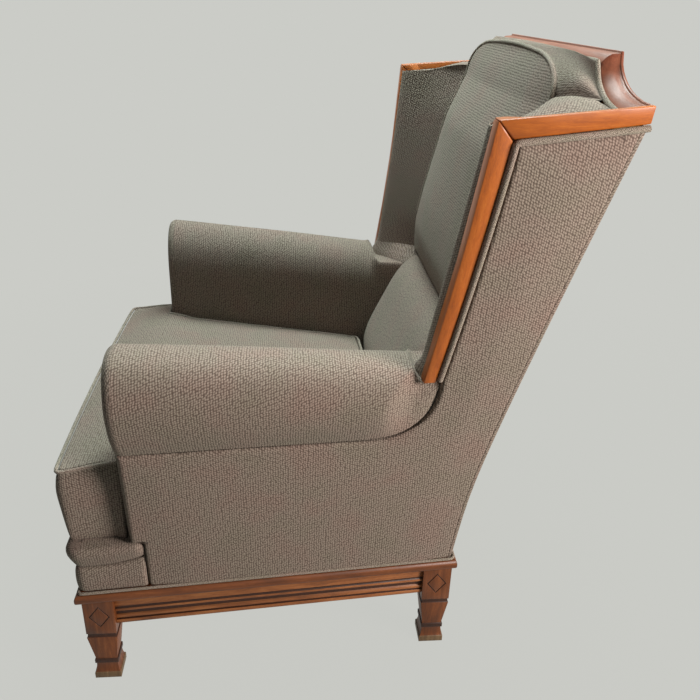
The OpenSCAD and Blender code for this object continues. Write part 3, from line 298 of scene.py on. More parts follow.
def cushion_top(x, y):
    s = clamp((y - front_y) / ear_len)
    t = clamp((y - ear_rear_y) / (cushion_rear_y - ear_rear_y))
    across = clamp(np.abs(x) / crown_half_w(y))
    along = clamp(np.abs(2 * (y - front_y) / (cushion_rear_y - front_y) - 1))
    fall = cushion_ear_rise + cushion_rear_drop
    edge = cushion_edge_z + cushion_ear_rise * ease(s) - fall * t
    crown = cushion_crown * (1 - across ** 3) * (1 - along ** 4)
    return edge + crown + fall / 2 * (1 - across ** 2) * ease(t)


# Meshes: grids of points in millimetres, with the cloth's own measure in millimetres as their UV map
def through(points, n):
    """A smooth curve through points, n steps to each stretch."""
    p = np.asarray(points, float)
    ends = np.concatenate([[2 * p[0] - p[1]], p, [2 * p[-1] - p[-2]]])
    rows = []
    for i in range(len(p) - 1):
        a, b, c, d = ends[i:i + 4]
        for t in np.linspace(0, 1, n, endpoint=False):
            rows.append(0.5 * (2 * b + (c - a) * t + (2 * a - 5 * b + 4 * c - d) * t ** 2
                               + (3 * b - a - 3 * c + d) * t ** 3))
    rows.append(p[-1])
    return np.array(rows)


def run_along(points, axis):
    """Distance along a grid's rows or columns, from its first point."""
    steps = np.linalg.norm(np.diff(points, axis=axis), axis=2)
    start = np.zeros_like(np.take(steps, [0], axis=axis))
    return np.concatenate([start, np.cumsum(steps, axis=axis)], axis=axis)


def measured(points, u, v):
    """A patch: points with UVs, each measure given as an axis letter or as an array."""
    def pick(m):
        return points[..., "xyz".index(m)] if isinstance(m, str) else np.broadcast_to(m, points.shape[:2])
    return points, np.stack([pick(u), pick(v)], axis=2)


def closed_ring(points):
    return np.concatenate([points, points[:, :1]], axis=1)


def rims(face, back):
    """The four narrow strips that join a face to its back."""
    pairs = [(face[0], back[0]), (face[-1], back[-1]), (face[:, 0], back[:, 0]), (face[:, -1], back[:, -1])]
    strips = [np.stack(pair) for pair in pairs]
    return [measured(strip, run_along(strip, 1), run_along(strip, 0)) for strip in strips]


def slab(face, back, face_uv, back_uv=("x", "z")):
    """A face, its back and the strips that close the edge between them."""
    return [measured(face, *face_uv), measured(back, *back_uv)] + rims(face, back)


def points_of(x, y, z):
    return np.stack(np.broadcast_arrays(x, y, z), axis=-1)


def upright(points, y):
    """Points given across and up, each with its depth."""
    return points_of(points[:, 0], y, points[:, 1])


def toward_middle(ring, shares):
    """Copies of a ring, each drawn in to a share of its size."""
    middle = ring.mean(axis=0)
    return [middle + share * (ring - middle) for share in shares]


def shell(name, node, patches, material, body="frame"):
    """Joins patches into one closed piece, its shared edges merged and its faces turned outwards."""
    verts, faces, uvs, count = [], [], [], 0
    for points, uv in patches:
        m, n = points.shape[:2]
        index = count + np.arange(m * n).reshape(m, n)
        quads = np.stack([index[:-1, :-1], index[:-1, 1:], index[1:, 1:], index[1:, :-1]], axis=2)
        verts.append(points.reshape(-1, 3))
        uvs.append(uv.reshape(-1, 2))
        faces.append(quads.reshape(-1, 4))
        count += m * n
    verts = np.concatenate(verts) * MM
    uvs = np.concatenate(uvs) * MM
    faces = np.concatenate(faces)
    mesh = bpy.data.meshes.new(name)
    mesh.from_pydata(verts.tolist(), [], faces.tolist())
    layer = mesh.uv_layers.new(name="weave")
    layer.data.foreach_set("uv", uvs[faces.reshape(-1)].reshape(-1))
    work = bmesh.new()
    work.from_mesh(mesh)
    bmesh.ops.remove_doubles(work, verts=work.verts, dist=WELD)
    bmesh.ops.recalc_face_normals(work, faces=work.faces)
    work.to_mesh(mesh)
    work.free()
    mesh.shade_smooth()
    mesh.set_sharp_from_angle(angle=math.radians(48))
    piece = bpy.data.objects.new(name, mesh)
    bpy.context.scene.collection.objects.link(piece)
    mesh.materials.append(material)
    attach(piece, body)
    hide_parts(node)
    return piece


def padded_piece(name, node, patches, body="frame"):
    shell(name, node, patches, upholstery, body)


def piping(name, node, path, d, side, body="frame", closed=False):
    """A covered cord of diameter d along a path, its cloth cut on the bias."""
    p = np.asarray(path, float)
    if closed:
        way = np.roll(p, -1, axis=0) - np.roll(p, 1, axis=0)
    else:
        way = np.gradient(p, axis=0)
    way /= np.linalg.norm(way, axis=1)[:, None]
    side = np.asarray(side, float)
    u = side - way * (way @ side)[:, None]
    u /= np.linalg.norm(u, axis=1)[:, None]
    v = np.cross(way, u)
    turn = np.linspace(0, 2 * math.pi, 13)[None, :, None]
    rings = p[:, None] + d / 2 * (np.cos(turn) * u[:, None] + np.sin(turn) * v[:, None])
    rings[:, -1] = rings[:, 0]
    if closed:
        rings = np.concatenate([rings, rings[:1]])
    along = run_along(rings, 0)[:, :1]
    around = run_along(rings, 1)[:1]
    patches = [measured(rings, along + around, around - along)]
    if not closed:
        for ring, centre in ((rings[:1], p[0]), (rings[-1:], p[-1])):
            cap = np.concatenate([ring, np.broadcast_to(centre, ring.shape)])
            patches.append(measured(cap, "x", "z"))
    shell(name, node, patches, piping_cloth, body)


def both(points, side):
    """A grid for the left side, or its mirror image for the right."""
    return points * np.array([side, 1, 1])


# Materials
MATH = "ShaderNodeMath"
VECTOR = "ShaderNodeVectorMath"
NOISE = "ShaderNodeTexNoise"
RAMP = "ShaderNodeValToRGB"
RANGE = "ShaderNodeMapRange"
BUMP = "ShaderNodeBump"
MIX = "ShaderNodeMix"
COORDS = "ShaderNodeTexCoord"


def linear(code):
    """A hex colour as it looks on a screen, turned to the renderer's linear colour."""
    parts = [int(code[i:i + 2], 16) / 255 for i in (1, 3, 5)]
    return [c / 12.92 if c <= 0.04045 else ((c + 0.055) / 1.055) ** 2.4 for c in parts] + [1]


def add(tree, kind, links=None, stops=None, **settings):
    """Adds a node with its settings, links or values on its sockets, and colour stops; gives its outputs."""
    made = tree.nodes.new(kind)
    for name, value in settings.items():
        setattr(made, name, value)
    for socket, value in (links or {}).items():
        target = made.inputs[socket]
        if isinstance(value, bpy.types.NodeSocket):
            tree.links.new(value, target)
        else:
            target.default_value = value
    for i, (place, code) in enumerate(stops or []):
        element = made.color_ramp.elements[i] if i < 2 else made.color_ramp.elements.new(place)
        element.position = place
        element.color = linear(code)
    return made.outputs


def wire(shader, colour, gloss=None, bump=None):
    for socket, value in (("Base Color", colour), ("Roughness", gloss), ("Normal", bump)):
        if value is not None:
            shader.id_data.links.new(value, shader.inputs[socket])


def new_material(name, **values):
    """A material with its shader, and the function that adds nodes to it."""
    material = bpy.data.materials.new(name)
    material.use_nodes = True
    tree = material.node_tree
    tree.nodes.clear()
    shader = tree.nodes.new("ShaderNodeBsdfPrincipled")
    for socket, value in values.items():
        shader.inputs[socket.replace("_", " ").title().replace("Ior", "IOR")].default_value = value
    add(tree, "ShaderNodeOutputMaterial", {0: shader.outputs[0]})
    return material, partial(add, tree), shader


def ribbed_cloth(name, stops, loop_mm):
    """Chunky wool blend: small round loops in columns, each column half a loop on from the last, in taupe."""
    material, put, shader = new_material(
        name, roughness=0.95, specular_ior_level=0.15, sheen_weight=0.2, sheen_roughness=0.5,
        sheen_tint=linear("#c8c6b8"))
    weave = put("ShaderNodeUVMap", uv_map="weave")[0]
    mm = put(VECTOR, {0: weave, 3: 1000.0}, operation="SCALE")[0]
    sway = put(NOISE, {"Vector": mm, "Scale": 0.05, "Detail": 3.0})["Color"]
    swayed = put(VECTOR, {0: sway, 1: (-0.5, -0.5, -0.5)})[0]
    shift = put(VECTOR, {0: swayed, 3: 3.5}, operation="SCALE")[0]
    place = put(VECTOR, {0: mm, 1: shift})[0]
    split = put("ShaderNodeSeparateXYZ", {0: place})
    row = put(MATH, {0: split[0], 1: loop_mm}, operation="DIVIDE")[0]
    pick = put(MATH, {0: split[1], 1: loop_mm}, operation="DIVIDE")[0]
    step = put(MATH, {0: row, 1: 0.5, 2: pick}, operation="MULTIPLY_ADD")[0]
    lattice = put("ShaderNodeCombineXYZ", {0: row, 1: step})[0]
    loops = put("ShaderNodeTexVoronoi", {"Vector": lattice, "Scale": 1.0, "Randomness": 0.38},
                voronoi_dimensions="2D")["Distance"]
    loop = put(RANGE, {"Value": loops, 1: 0.16, 2: 0.64, 3: 1.0, 4: 0.0},
               interpolation_type="SMOOTHSTEP")[0]
    turn = put(MATH, {0: row, 1: 2 * math.pi}, operation="MULTIPLY")[0]
    rib = put(MATH, {0: turn}, operation="COSINE")[0]
    fibre = put(NOISE, {"Vector": mm, "Scale": 0.5, "Detail": 3.0, "Roughness": 0.7})[0]
    height = -0.13
    for part, weight in ((fibre, 0.5), (rib, 0.06), (loop, 0.62)):
        height = put(MATH, {0: part, 1: weight, 2: height}, operation="MULTIPLY_ADD")[0]
    # The colour follows the loops' height: mixed yarn tones, with painted shade darkening the low gaps
    # between the loops
    yarn_and_gap_shade = put(RAMP, {0: height}, stops)[0]
    # Broad uneven patches, about 80 mm across, as the dye and the nap turn
    cloud = put(NOISE, {"Vector": mm, "Scale": 0.012, "Detail": 2.0, "Roughness": 0.5})[0]
    tint = put(RAMP, {0: cloud}, dye_patches)[0]
    colour = put(MIX, {0: 1.0, 6: yarn_and_gap_shade, 7: tint}, data_type="RGBA", blend_type="MULTIPLY")[2]
    bump = put(BUMP, {"Height": height, "Distance": 0.001, "Strength": 0.5})[0]
    wire(shader, colour, bump=bump)
    return material


def lacquered_wood(name, along, stops, grain_mm, roughness, coat, hollow_shade="#3a2013"):
    """Stained beech under thin lacquer: streaks along the member, painted shade in its hollows, a painted
    highlight on its arrises.
    """
    material, put, shader = new_material(
        name, coat_weight=coat, coat_roughness=0.25, specular_ior_level=0.35)
    place = put(COORDS)["Object"]
    streaked = []
    # Streaks are twenty times as long as they are wide, and pores fourteen times
    for width, stretch in ((grain_mm, 20), (0.9, 14)):
        scale = [1 / (width * MM)] * 3
        scale["XYZ".index(along)] /= stretch
        streaked.append(put("ShaderNodeMapping", {"Vector": place, "Scale": scale})[0])
    grain = put(NOISE, {"Vector": streaked[0], "Scale": 1.0, "Detail": 6.0, "Roughness": 0.62,
                              "Distortion": 0.6})[0]
    pore = put(NOISE, {"Vector": streaked[1], "Scale": 1.0, "Detail": 2.0})[0]
    broad = put(NOISE, {"Vector": place, "Scale": 9.0, "Detail": 2.0})[0]
    figure = grain
    for part, weight in ((pore, 0.35), (broad, 0.5)):
        figure = put(MATH, {0: part, 1: weight, 2: figure}, operation="MULTIPLY_ADD")[0]
    centred = put(MATH, {0: figure, 1: 0.425}, operation="SUBTRACT")[0]
    stained = put(RAMP, {0: centred}, stops)[0]
    # Painted shade: the colour turns darker where the surface is hollow, within a few millimetres
    hollow = put("ShaderNodeAmbientOcclusion", {"Distance": 0.012}, samples=6, only_local=True)["AO"]
    painted_shade_share = put(RANGE, {"Value": hollow, 1: 0.5, 2: 0.92, 3: 1.0, 4: 0.0})[0]
    with_painted_shade = put(MIX, {0: painted_shade_share, 6: stained, 7: linear(hollow_shade)}, data_type="RGBA")[2]
    # Painted highlight: the colour turns pale on the outer corners
    corner = put("ShaderNodeAmbientOcclusion", {"Distance": 0.0025}, samples=6, only_local=True,
                 inside=True)["AO"]
    painted_highlight_share = put(RANGE, {"Value": corner, 1: 0.3, 2: 0.75, 3: 0.0, 4: 0.2})[0]
    pale = put(MIX, {0: painted_highlight_share, 6: with_painted_shade, 7: linear(stops[1][1])}, data_type="RGBA")[2]
    gloss = put(RANGE, {"Value": grain, 3: roughness + 0.08, 4: roughness - 0.05})[0]
    bump = put(BUMP, {"Height": pore, "Distance": 0.0002, "Strength": 0.35})[0]
    wire(shader, pale, gloss, bump)
    return material


def woods(name, words, *recipe):
    """The same wood for members that run along each of the axes in words."""
    return [lacquered_wood(name + "_" + word, axis, *recipe) for axis, word in words.items()]


def plain_woven(name, dark, light, thread_mm, roughness):
    """Thin plain-woven or felted cloth under the seat: small crossed threads with a dry face."""
    material, put, shader = new_material(name, roughness=roughness)
    place = put(COORDS)["Object"]
    split = put("ShaderNodeSeparateXYZ", {0: place})
    waves = []
    for axis in (0, 1):
        turn = put(MATH, {0: split[axis], 1: math.pi / (thread_mm * MM)}, operation="MULTIPLY")[0]
        wave = put(MATH, {0: turn}, operation="SINE")[0]
        waves.append(put(MATH, {0: wave}, operation="ABSOLUTE")[0])
    speck = put(NOISE, {"Vector": place, "Scale": 1 / (2 * thread_mm * MM), "Detail": 3.0})[0]
    form = put(MATH, {0: waves[0], 1: waves[1]}, operation="ADD")[0]
    mixed = put(MATH, {0: speck, 1: 1.2, 2: form}, operation="MULTIPLY_ADD")[0]
    height = put(MATH, {0: mixed, 1: 0.5, 2: -0.3}, operation="MULTIPLY_ADD")[0]
    colour = put(RAMP, {0: height}, [(0.2, dark), (0.85, light)])[0]
    bump = put(BUMP, {"Height": height, "Distance": 0.0004, "Strength": 0.6})[0]
    wire(shader, colour, bump=bump)
    return material


def drawn_steel(name):
    """Drawn spring steel wire and zinc-plated clips: grey, a little dull, with faint drawing marks."""
    material, put, shader = new_material(name, metallic=1.0)
    place = put(COORDS)["Object"]
    marks = put(NOISE, {"Vector": place, "Scale": 900.0, "Detail": 3.0})[0]
    colour = put(RAMP, {0: marks}, [(0.3, "#7d8083"), (0.7, "#a3a6a9")])[0]
    wire(shader, colour, put(RANGE, {"Value": marks, 3: 0.28, 4: 0.45})[0])
    return material


dye_patches = [(0.35, "#f4e9e4"), (0.65, "#ebece3"), (0.5, "#f2efe9")]
# Yarn colours for the cloth and the piping: the darkest stops are painted shade in the gaps between loops
cloth_stops = [(0.08, "#675b54"), (0.92, "#b4a99f"), (0.35, "#82766d"), (0.6, "#978b81")]
upholstery = ribbed_cloth("ribbed_wool_blend_taupe", cloth_stops, 4)
piping_stops = [(0.1, "#5f544c"), (0.9, "#cdc3b8"), (0.35, "#8d8278"), (0.6, "#aba196")]
piping_cloth = ribbed_cloth("ribbed_wool_blend_bias_piping", piping_stops, 2.9)
edge_stops = [(0.22, "#7a3508"), (0.8, "#c0712a"), (0.45, "#9f4f10"), (0.6, "#ae5b18")]
edge_wood_z, edge_wood_y = woods("golden_lacquered_beech", {"Z": "upright", "Y": "level"}, edge_stops, 7, 0.4,
                                 0.15, "#8a4a1e")
crest_stops = [(0.2, "#52200f"), (0.85, "#a0684a"), (0.45, "#773c25"), (0.65, "#8a4d35")]
crest_wood = lacquered_wood("rose_brown_lacquered_beech", "X", crest_stops, 9, 0.44, 0.06, "#2c100a")
rail_stops = [(0.25, "#4a210e"), (0.8, "#b97d4a"), (0.42, "#7d4521"), (0.6, "#9d6134")]
rail_wood_x, rail_wood_y = woods("brown_lacquered_beech", {"X": "cross", "Y": "side"}, rail_stops, 8,
                                 0.42, 0.12)
dark_stops = [(0.22, "#321609"), (0.85, "#935a30"), (0.45, "#5b2e13"), (0.62, "#713e1d")]
# Colours of the painted shade in the grooves of the legs and aprons and in the leg's diamond
groove_shade_stops = [(0.25, "#1c0e07"), (0.8, "#4c2a16"), (0.45, "#2a150b"), (0.6, "#371d10")]
groove_shade_wood = lacquered_wood("painted_shade_in_beech_grooves", "Z", groove_shade_stops, 5, 0.5, 0.05)
dark_wood_x, dark_wood_y, dark_wood_z = woods(
    "dark_stained_beech", {"X": "cross", "Y": "side", "Z": "legs"}, dark_stops, 8, 0.44, 0.1, "#241209")
worn_stops = [(0.25, "#3f2c1a"), (0.8, "#937a58"), (0.45, "#604a32"), (0.6, "#775f42")]
worn_wood = lacquered_wood("scuffed_beech_foot_edges", "Z", worn_stops, 8, 0.5, 0.05)
frame_stops = [(0.25, "#9c7c52"), (0.75, "#d8bd90"), (0.5, "#c4a473")]
frame_wood_x, frame_wood_y, frame_wood_z = woods(
    "raw_beech", {"X": "cross", "Y": "side", "Z": "upright"}, frame_stops, 10, 0.7, 0.0)
felt = plain_woven("pressed_grey_felt", "#2e2b28", "#5b564f", 1.6, 0.95)
webbing = plain_woven("jute_webbing", "#8f7d5c", "#c6b48e", 2.4, 0.9)
dust_cloth = plain_woven("black_polypropylene_dust_cloth", "#1c1b1a", "#3a3836", 1.0, 0.85)
steel = drawn_steel("drawn_spring_steel")


# Padded and piped pieces
def ripple(points, size, reach):
    """A gentle unevenness in padding, the same on every run."""
    x, y, z = (points[..., k] for k in range(3))
    a = np.sin(x / reach + 1.3 * np.sin(z / reach * 0.7)) * np.cos(y / reach * 1.1 + 0.4)
    b = np.sin((y + z) / reach * 0.63 + 0.9) * np.cos((x - z) / reach * 0.57)
    return size * 0.5 * (a + b)


def make_cushion():
    ring = cushion_outline()
    boxing = through([(0, 1), (0.05, 0.8), (0.2, 0.54), (0.45, 0.25), (0.72, 0), (0.9, 0.25),
                      (0.965, 0.62), (1, 0.92)], 3)
    around = run_along(closed_ring(ring[None]), 1)
    rows = []
    # The rear of each ear stands close to the arm front, so it draws in less
    ear = clamp((ring[:, 1] - ear_rear_y + 24) / 24) * (np.abs(ring[:, 0]) > cushion_body_x(ring[:, 1]) + 2)
    for height, draw in boxing:
        p = inset_ring(ring, 12 * draw * (1 - 0.75 * ear))
        rows.append(np.column_stack([p, lerp(cushion_z, cushion_top(p[:, 0], p[:, 1]), height)]))
    wall = closed_ring(np.array(rows))
    centre = np.array([0, ear_rear_y - cushion_corner_r])
    top, low = [], []
    for s in np.linspace(1, 0, 34):
        (x, y), (low_x, low_y) = ((centre + s * (wall[k, :, :2] - centre)).T for k in (-1, 0))
        top.append(points_of(x, y, cushion_top(x, y)))
        low.append(points_of(low_x, low_y, cushion_z))
    top, low = np.array(top), np.array(low[::3])
    top[1:, :, 2] += ripple(top[1:], 1.6, 48) * np.linspace(0.3, 1, 33)[:, None]
    top[-1] = top[-1].mean(axis=0)
    low[-1] = low[-1].mean(axis=0)
    patches = [measured(wall, around, "z"), measured(top, "y", "x"), measured(low, "y", "x")]
    padded_piece("seat_cushion_cover", "seat_cushion", patches, "cushion")
    edge = inset_ring(ring, 4.6)
    path = np.column_stack([edge, cushion_top(edge[:, 0], edge[:, 1]) - 1])
    piping("seat_cushion_piping", "seat_piping", path, 6, (0, 0, 1), "cushion", closed=True)


bolster_end_y = leg_front_y + bolster_return


def wrap_frames():
    """Places round the front of the base: x, y, outward angle and distance from the nearer rear end."""
    cy = leg_front_y + 12
    cx = half_w(cy) - 12 / math.cos(taper)
    half = [(half_w(y), y, taper, bolster_end_y - y)
            for y in bolster_end_y - (bolster_end_y - cy) * np.linspace(0, 1, 30, endpoint=False) ** 1.7]
    for t in np.linspace(0, 1, 10):
        a = lerp(taper, -math.pi / 2, t)
        half.append((cx + 12 * math.cos(a), cy + 12 * math.sin(a), a, 200.0))
    half += [(x, leg_front_y, -math.pi / 2, 200.0) for x in np.linspace(cx, 0, 40)[1:]]
    return half + [(-x, y, math.pi - a, d) for x, y, a, d in half[-2::-1]]


def bolster_lift(d):
    """How far the seam under the bolster has risen at a distance from its rear end."""
    return 14 * clamp(1 - d / 80) ** 2


def wrap(name, node, section_at, more=()):
    """A piece of padding that follows the front of the base and turns back at both sides."""
    rings = []
    for x, y, a, d in wrap_frames():
        s = section_at(d)
        rings.append(np.column_stack([x + math.cos(a) * s[:, 0], y + math.sin(a) * s[:, 0], s[:, 1]]))
    rings = closed_ring(np.array(rings))
    along = run_along(rings, 0)[:, rings.shape[1] // 2][:, None]
    patches = [measured(rings, along, run_along(rings, 1))]
    for end in (rings[0], rings[-1]):
        centre = np.broadcast_to(end[:-1].mean(axis=0), end.shape)
        patches.append(measured(np.stack([end, centre]), "x", "z"))
    padded_piece(name, node, patches + list(more))


def front_section(out, low, high, shares):
    face = np.column_stack([out, lerp(low, high, shares)])
    back = -seat_rail_in + gap
    return np.vstack([[[back, low]], face, [[back, high]]])


def band_section(d):
    low, high = band_z, bolster_z - 1.2 + bolster_lift(d)
    turn = np.linspace(-math.pi / 2, math.pi / 2, 17)
    draw = 1 - 0.6 * clamp(1 - d / 6) ** 2
    out = -4 + (8.4 * np.cos(turn).clip(0, 1) ** 0.5) * draw
    return front_section(out, low, high, (np.sin(turn) + 1) / 2)


def bolster_section(d):
    low, high = bolster_z + bolster_lift(d), bolster_top_z - 7 * clamp(1 - d / 14) ** 2
    shares = through([(0, 0), (0.34, 0.1), (0.58, 0.27), (0.82, 0.46), (0.97, 0.62), (1, 0.75), (0.9, 0.88),
                      (0.5, 0.97), (-0.6, 1)], 4)
    full = lerp(-4, bolster_out, shares[:, 0])
    draw = math.sqrt(1 - clamp(1 - d / 16) ** 2)
    out = lerp(-4, full, draw * 0.85 + 0.15)
    return front_section(out, low, high, shares[:, 1])


def lap_patches():
    """Cloth that laps from the bolster over the seat rails, under the cushion."""
    near, far, end = leg_front_y + 8, leg_front_y + 36, bolster_end_y - 18
    plans = [[(side * (half_w(y) - 8), y) for y in (near, far) for side in (-1, 1)]]
    for side in (1, -1):
        plans.append([(side * (half_w(y) - out), y) for y in (far + gap, end) for out in (8, 36)])
    patches = []
    for plan in plans:
        plan = np.array(plan).reshape(2, 2, 2)
        face, back = (points_of(plan[..., 0], plan[..., 1], bolster_top_z - drop) for drop in (0.6, 1.4))
        patches += slab(face, back, ("x", "y"), ("x", "y"))
    return patches


# Arms: rolled padding over the rail, its section given in shares of its width and height
arm_seam_z = 491
arm_face_y = ear_rear_y + 1
arm_start_y = arm_face_y + arm_face_d
panel_front_y = arm_face_y + arm_face_d / 3
panel_seam_z = arm_seam_z - 1.4
arm_flat_y = wing_y(wing_foot_z) - 4
arm_rear_out_y = edge_rear_y(wing_foot_z) + panel_edge_gap - 2
arm_rear_in_y = arm_rear_out_y + 24
arm_end_r = 108
curve_rise = 107
curve_y = edge_rear_y(wing_foot_z) + panel_edge_gap - arm_end_r
arm_round_shares = [
    (0, -1.05), (0, 0.1), (0, 0.44), (0.03, 0.62), (0.11, 0.78), (0.24, 0.9), (0.4, 0.97), (0.56, 0.985),
    (0.71, 0.96), (0.83, 0.9), (0.93, 0.78), (0.99, 0.62), (1, 0.48), (0.96, 0.3), (0.88, 0.14), (0.78, 0)]
arm_flat_shares = [
    (0, -1.05), (0, 0.1), (0, 0.5), (0, 0.8), (0.02, 1), (0.12, 1), (0.3, 1), (0.5, 1),
    (0.64, 1), (0.74, 1), (0.8, 0.94), (0.82, 0.8), (0.83, 0.6), (0.82, 0.4), (0.8, 0.2), (0.78, 0)]
arm_inner_shares = [
    (0, -1.05), (0, 0.1), (0, 0.35), (0.01, 0.5), (0.04, 0.58), (0.12, 0.62), (0.22, 0.64), (0.36, 0.65),
    (0.5, 0.64), (0.6, 0.6), (0.68, 0.5), (0.72, 0.4), (0.73, 0.3), (0.7, 0.2), (0.64, 0.1), (0.58, 0)]
arm_rise = [(arm_start_y, arm_front_z), (lerp(arm_start_y, arm_flat_y, 0.38), 649.2), (arm_flat_y - 9, 625),
            (arm_flat_y - 1, wing_foot_z - gap)]


def curve_share(s):
    return (1 - clamp(s) ** 2.3) ** (1 / 2.3)


def seam_z(y):
    curve = wing_foot_z - curve_rise * curve_share((y - curve_y) / arm_end_r)
    return np.where(y < curve_y, arm_seam_z, curve)


def arm_grid(shares_at, under=False):
    """An arm from its face to the wing: the cloth's outer side, or the hidden side under the padding."""
    s = np.concatenate([np.linspace(0, 0.8, 44, endpoint=False), np.linspace(0.8, 1, 26)])
    columns = []
    for j in range(16):
        rear = lerp(arm_rear_in_y, arm_rear_out_y, clamp((j - 4) / 6))
        y = np.where(s <= 0.9, lerp(arm_start_y, arm_flat_y, s / 0.9), lerp(arm_flat_y, rear, (s - 0.9) * 10))
        top = rounded(arm_rise, y, 5)
        # The outer side narrows toward the wing well before the top drops under it
        reach = lerp(14, 60, clamp((j - 7) / 5))
        flat = ease(clamp((y - arm_flat_y + reach) / reach))
        base = arm_seam_z + gap if j < 10 else seam_z(y) + 2.8 + 1.2 * clamp((y - curve_y) / 3)
        across, up = shares_at(j, flat)
        if under:
            x = lerp(arm_x(y) + arm_pad_t, side_x(y, arm_seam_z) - 22, across / 0.73)
        else:
            x = lerp(arm_x(y), side_x(y, arm_seam_z) + arm_bulge, across)
        columns.append(points_of(x, y, pads_low_z if j == 0 else lerp(base, top, up)))
    return np.swapaxes(through(columns, 5), 0, 1)


def arm_outer_shares(j, flat):
    (a, b), (c, d) = arm_round_shares[j], arm_flat_shares[j]
    return lerp(a, c, flat), lerp(b, d, flat)


def make_arm(side, word):
    outer = arm_grid(arm_outer_shares)
    front = outer[0, 10:][:, [0, 2]]
    inner = arm_grid(lambda j, flat: arm_inner_shares[j], True)
    around = run_along(outer, 1)
    outer[..., 2] += ripple(outer, 0.8, 40) * ease(clamp((outer[..., 2] - arm_seam_z - 60) / 60))
    outer, inner = both(outer, side), both(inner, side)
    padded_piece("arm_cover_" + word, "arm_pad_" + word, slab(outer, inner, ("y", around), ("y", "z")))
    low, foot = arm_seam_z + gap, bolster_top_z + gap
    outline = np.vstack([[(arm_x(arm_start_y), foot)], front, [(side_x(arm_start_y, low) - 9.2, low)],
                         [(side_x(arm_start_y, cushion_z) - 9.2, foot)]])
    ring = even_ring(outline[::-1], 4)
    rows, flat = [], []
    for turn in np.linspace(0, math.pi / 2, 13):
        p = inset_ring(ring, 13 * (1 - math.cos(turn)))
        rows.append(upright(p, arm_start_y - gap - (arm_face_d - gap) * math.sin(turn)))
        flat.append(inset_ring(ring, 13 - 21 * (1 - turn / math.pi * 2)))
    rows = toward_middle(rows[0], (0,)) + rows + toward_middle(rows[-1], (0.85, 0.6, 0.3, 0))
    grid = both(closed_ring(np.array(rows)), side)
    # The cloth's own measure: flat on the face and spread out where it turns back
    plain = [row[:, [0, 2]] for row in rows]
    spread = closed_ring(np.array(plain[:1] + flat + plain[-4:]))
    patches = [measured(grid, spread[..., 0], spread[..., 1])]
    padded_piece("arm_face_" + word, "arm_front_" + word, patches)


def make_panel(side, word):
    rows = [(bolster_end_y + gap, z, z) for z in np.linspace(band_z, bolster_top_z, 14)]
    rows += [(panel_front_y, z, z) for z in lerp(bolster_top_z + gap, panel_seam_z, cosine_steps(36))]
    for z in lerp(arm_seam_z, wing_foot_z, np.linspace(0, 1, 30) ** 1.7):
        rows.append((curve_y + arm_end_r * curve_share((wing_foot_z - z) / curve_rise), z, z))
    rear_top = panel_top_z(panel_rear_y(crest_foot_z))
    for s in np.linspace(0.03, 1, 40):
        y = edge_rear_y(lerp(wing_foot_z, panel_top_z(wing_top_y), s)) + panel_edge_gap
        rows.append((y, lerp(wing_foot_z, panel_top_z(y), s), lerp(wing_foot_z, rear_top, s)))
    rows = np.array(rows, float)
    z = lerp(rows[:, 1:2], rows[:, 2:3], cosine_steps(60))
    y = lerp(rows[:, 0:1], panel_rear_y(z), cosine_steps(60))
    border = [(y, panel_seam_z) for y in np.linspace(panel_front_y, curve_y, 100)]
    border += [(y, bolster_top_z) for y in np.linspace(panel_front_y, bolster_end_y, 9)]
    border = np.vstack([rows[:, :2], border])
    away = np.linalg.norm(np.stack([y, z], axis=2)[:, :, None] - border, axis=3).min(axis=2)
    edge = np.minimum(away, np.minimum(panel_rear_y(z) - y, z[-1] - z))
    deep = np.where(panel_rear_y(z) - y < 20, 1.2, 4.5)
    inward = 1.5 + deep * clamp(1 - edge / 8) ** 2 - 2.2 * ease(clamp(edge / 70))
    # A narrow groove along the seams with the arm, the bolster and the wing
    inward += 6 * clamp(1 - away / 2.5)
    face, back = (both(points_of(side_x(y, z) - into, y, z), side) for into in (inward, 14))
    patches = slab(face, back, ("y", "z"), ("y", "z"))
    padded_piece("outside_panel_cover_" + word, "outside_panel_" + word, patches)


# Lumbar and back pads, and the pads inside the wings
lumbar_shares = [(0, 0.3), (0.05, 0.2), (0.13, 0.13), (0.215, 0.077), (0.29, 0.026), (0.4, 0), (0.5, 0.068),
                 (0.61, 0.197), (0.73, 0.35), (0.857, 0.52), (0.93, 0.667), (0.975, 0.82), (1, 1)]
lumbar_lean = 117
lumbar_top_z = 625
back_foot_z = lumbar_top_z + gap
back_top_z = overall_h - 5
back_depths = [(0, 42), (0.14, 57.2), (0.3, 61), (0.66, 61), (0.88, 42), (1, 29.4)]
back_pad_w = 521
back_pad_corner_w = 140
back_pad_corner_h = 53
back_level_x = back_pad_w / 2 - back_pad_corner_w


def lumbar_y(z):
    return lumbar_nose_y + lumbar_lean * at(lumbar_shares, (z - pads_low_z) / (lumbar_top_z - pads_low_z))


def back_share(z):
    return (z - back_foot_z) / (back_top_z - back_foot_z)


def back_edge_y(z):
    return pad_rear_y(z) - rounded(back_depths, back_share(z), 0.03)


def make_lumbar():
    profile = through(lumbar_shares, 4)
    across = 2 * cosine_steps(61) - 1
    z = lerp(pads_low_z, lumbar_top_z, profile[:, 0])[:, None]
    y = lumbar_nose_y + lumbar_lean * profile[:, 1][:, None] + 14 * np.abs(across) ** 8
    face, back = (points_of(across * (arm_x(at_y) - gap), at_y, z) for at_y in (y, pad_rear_y(z)))
    padded_piece("lumbar_cover", "lumbar_pad", slab(face, back, ("x", run_along(face, 0)[:, [30]])))


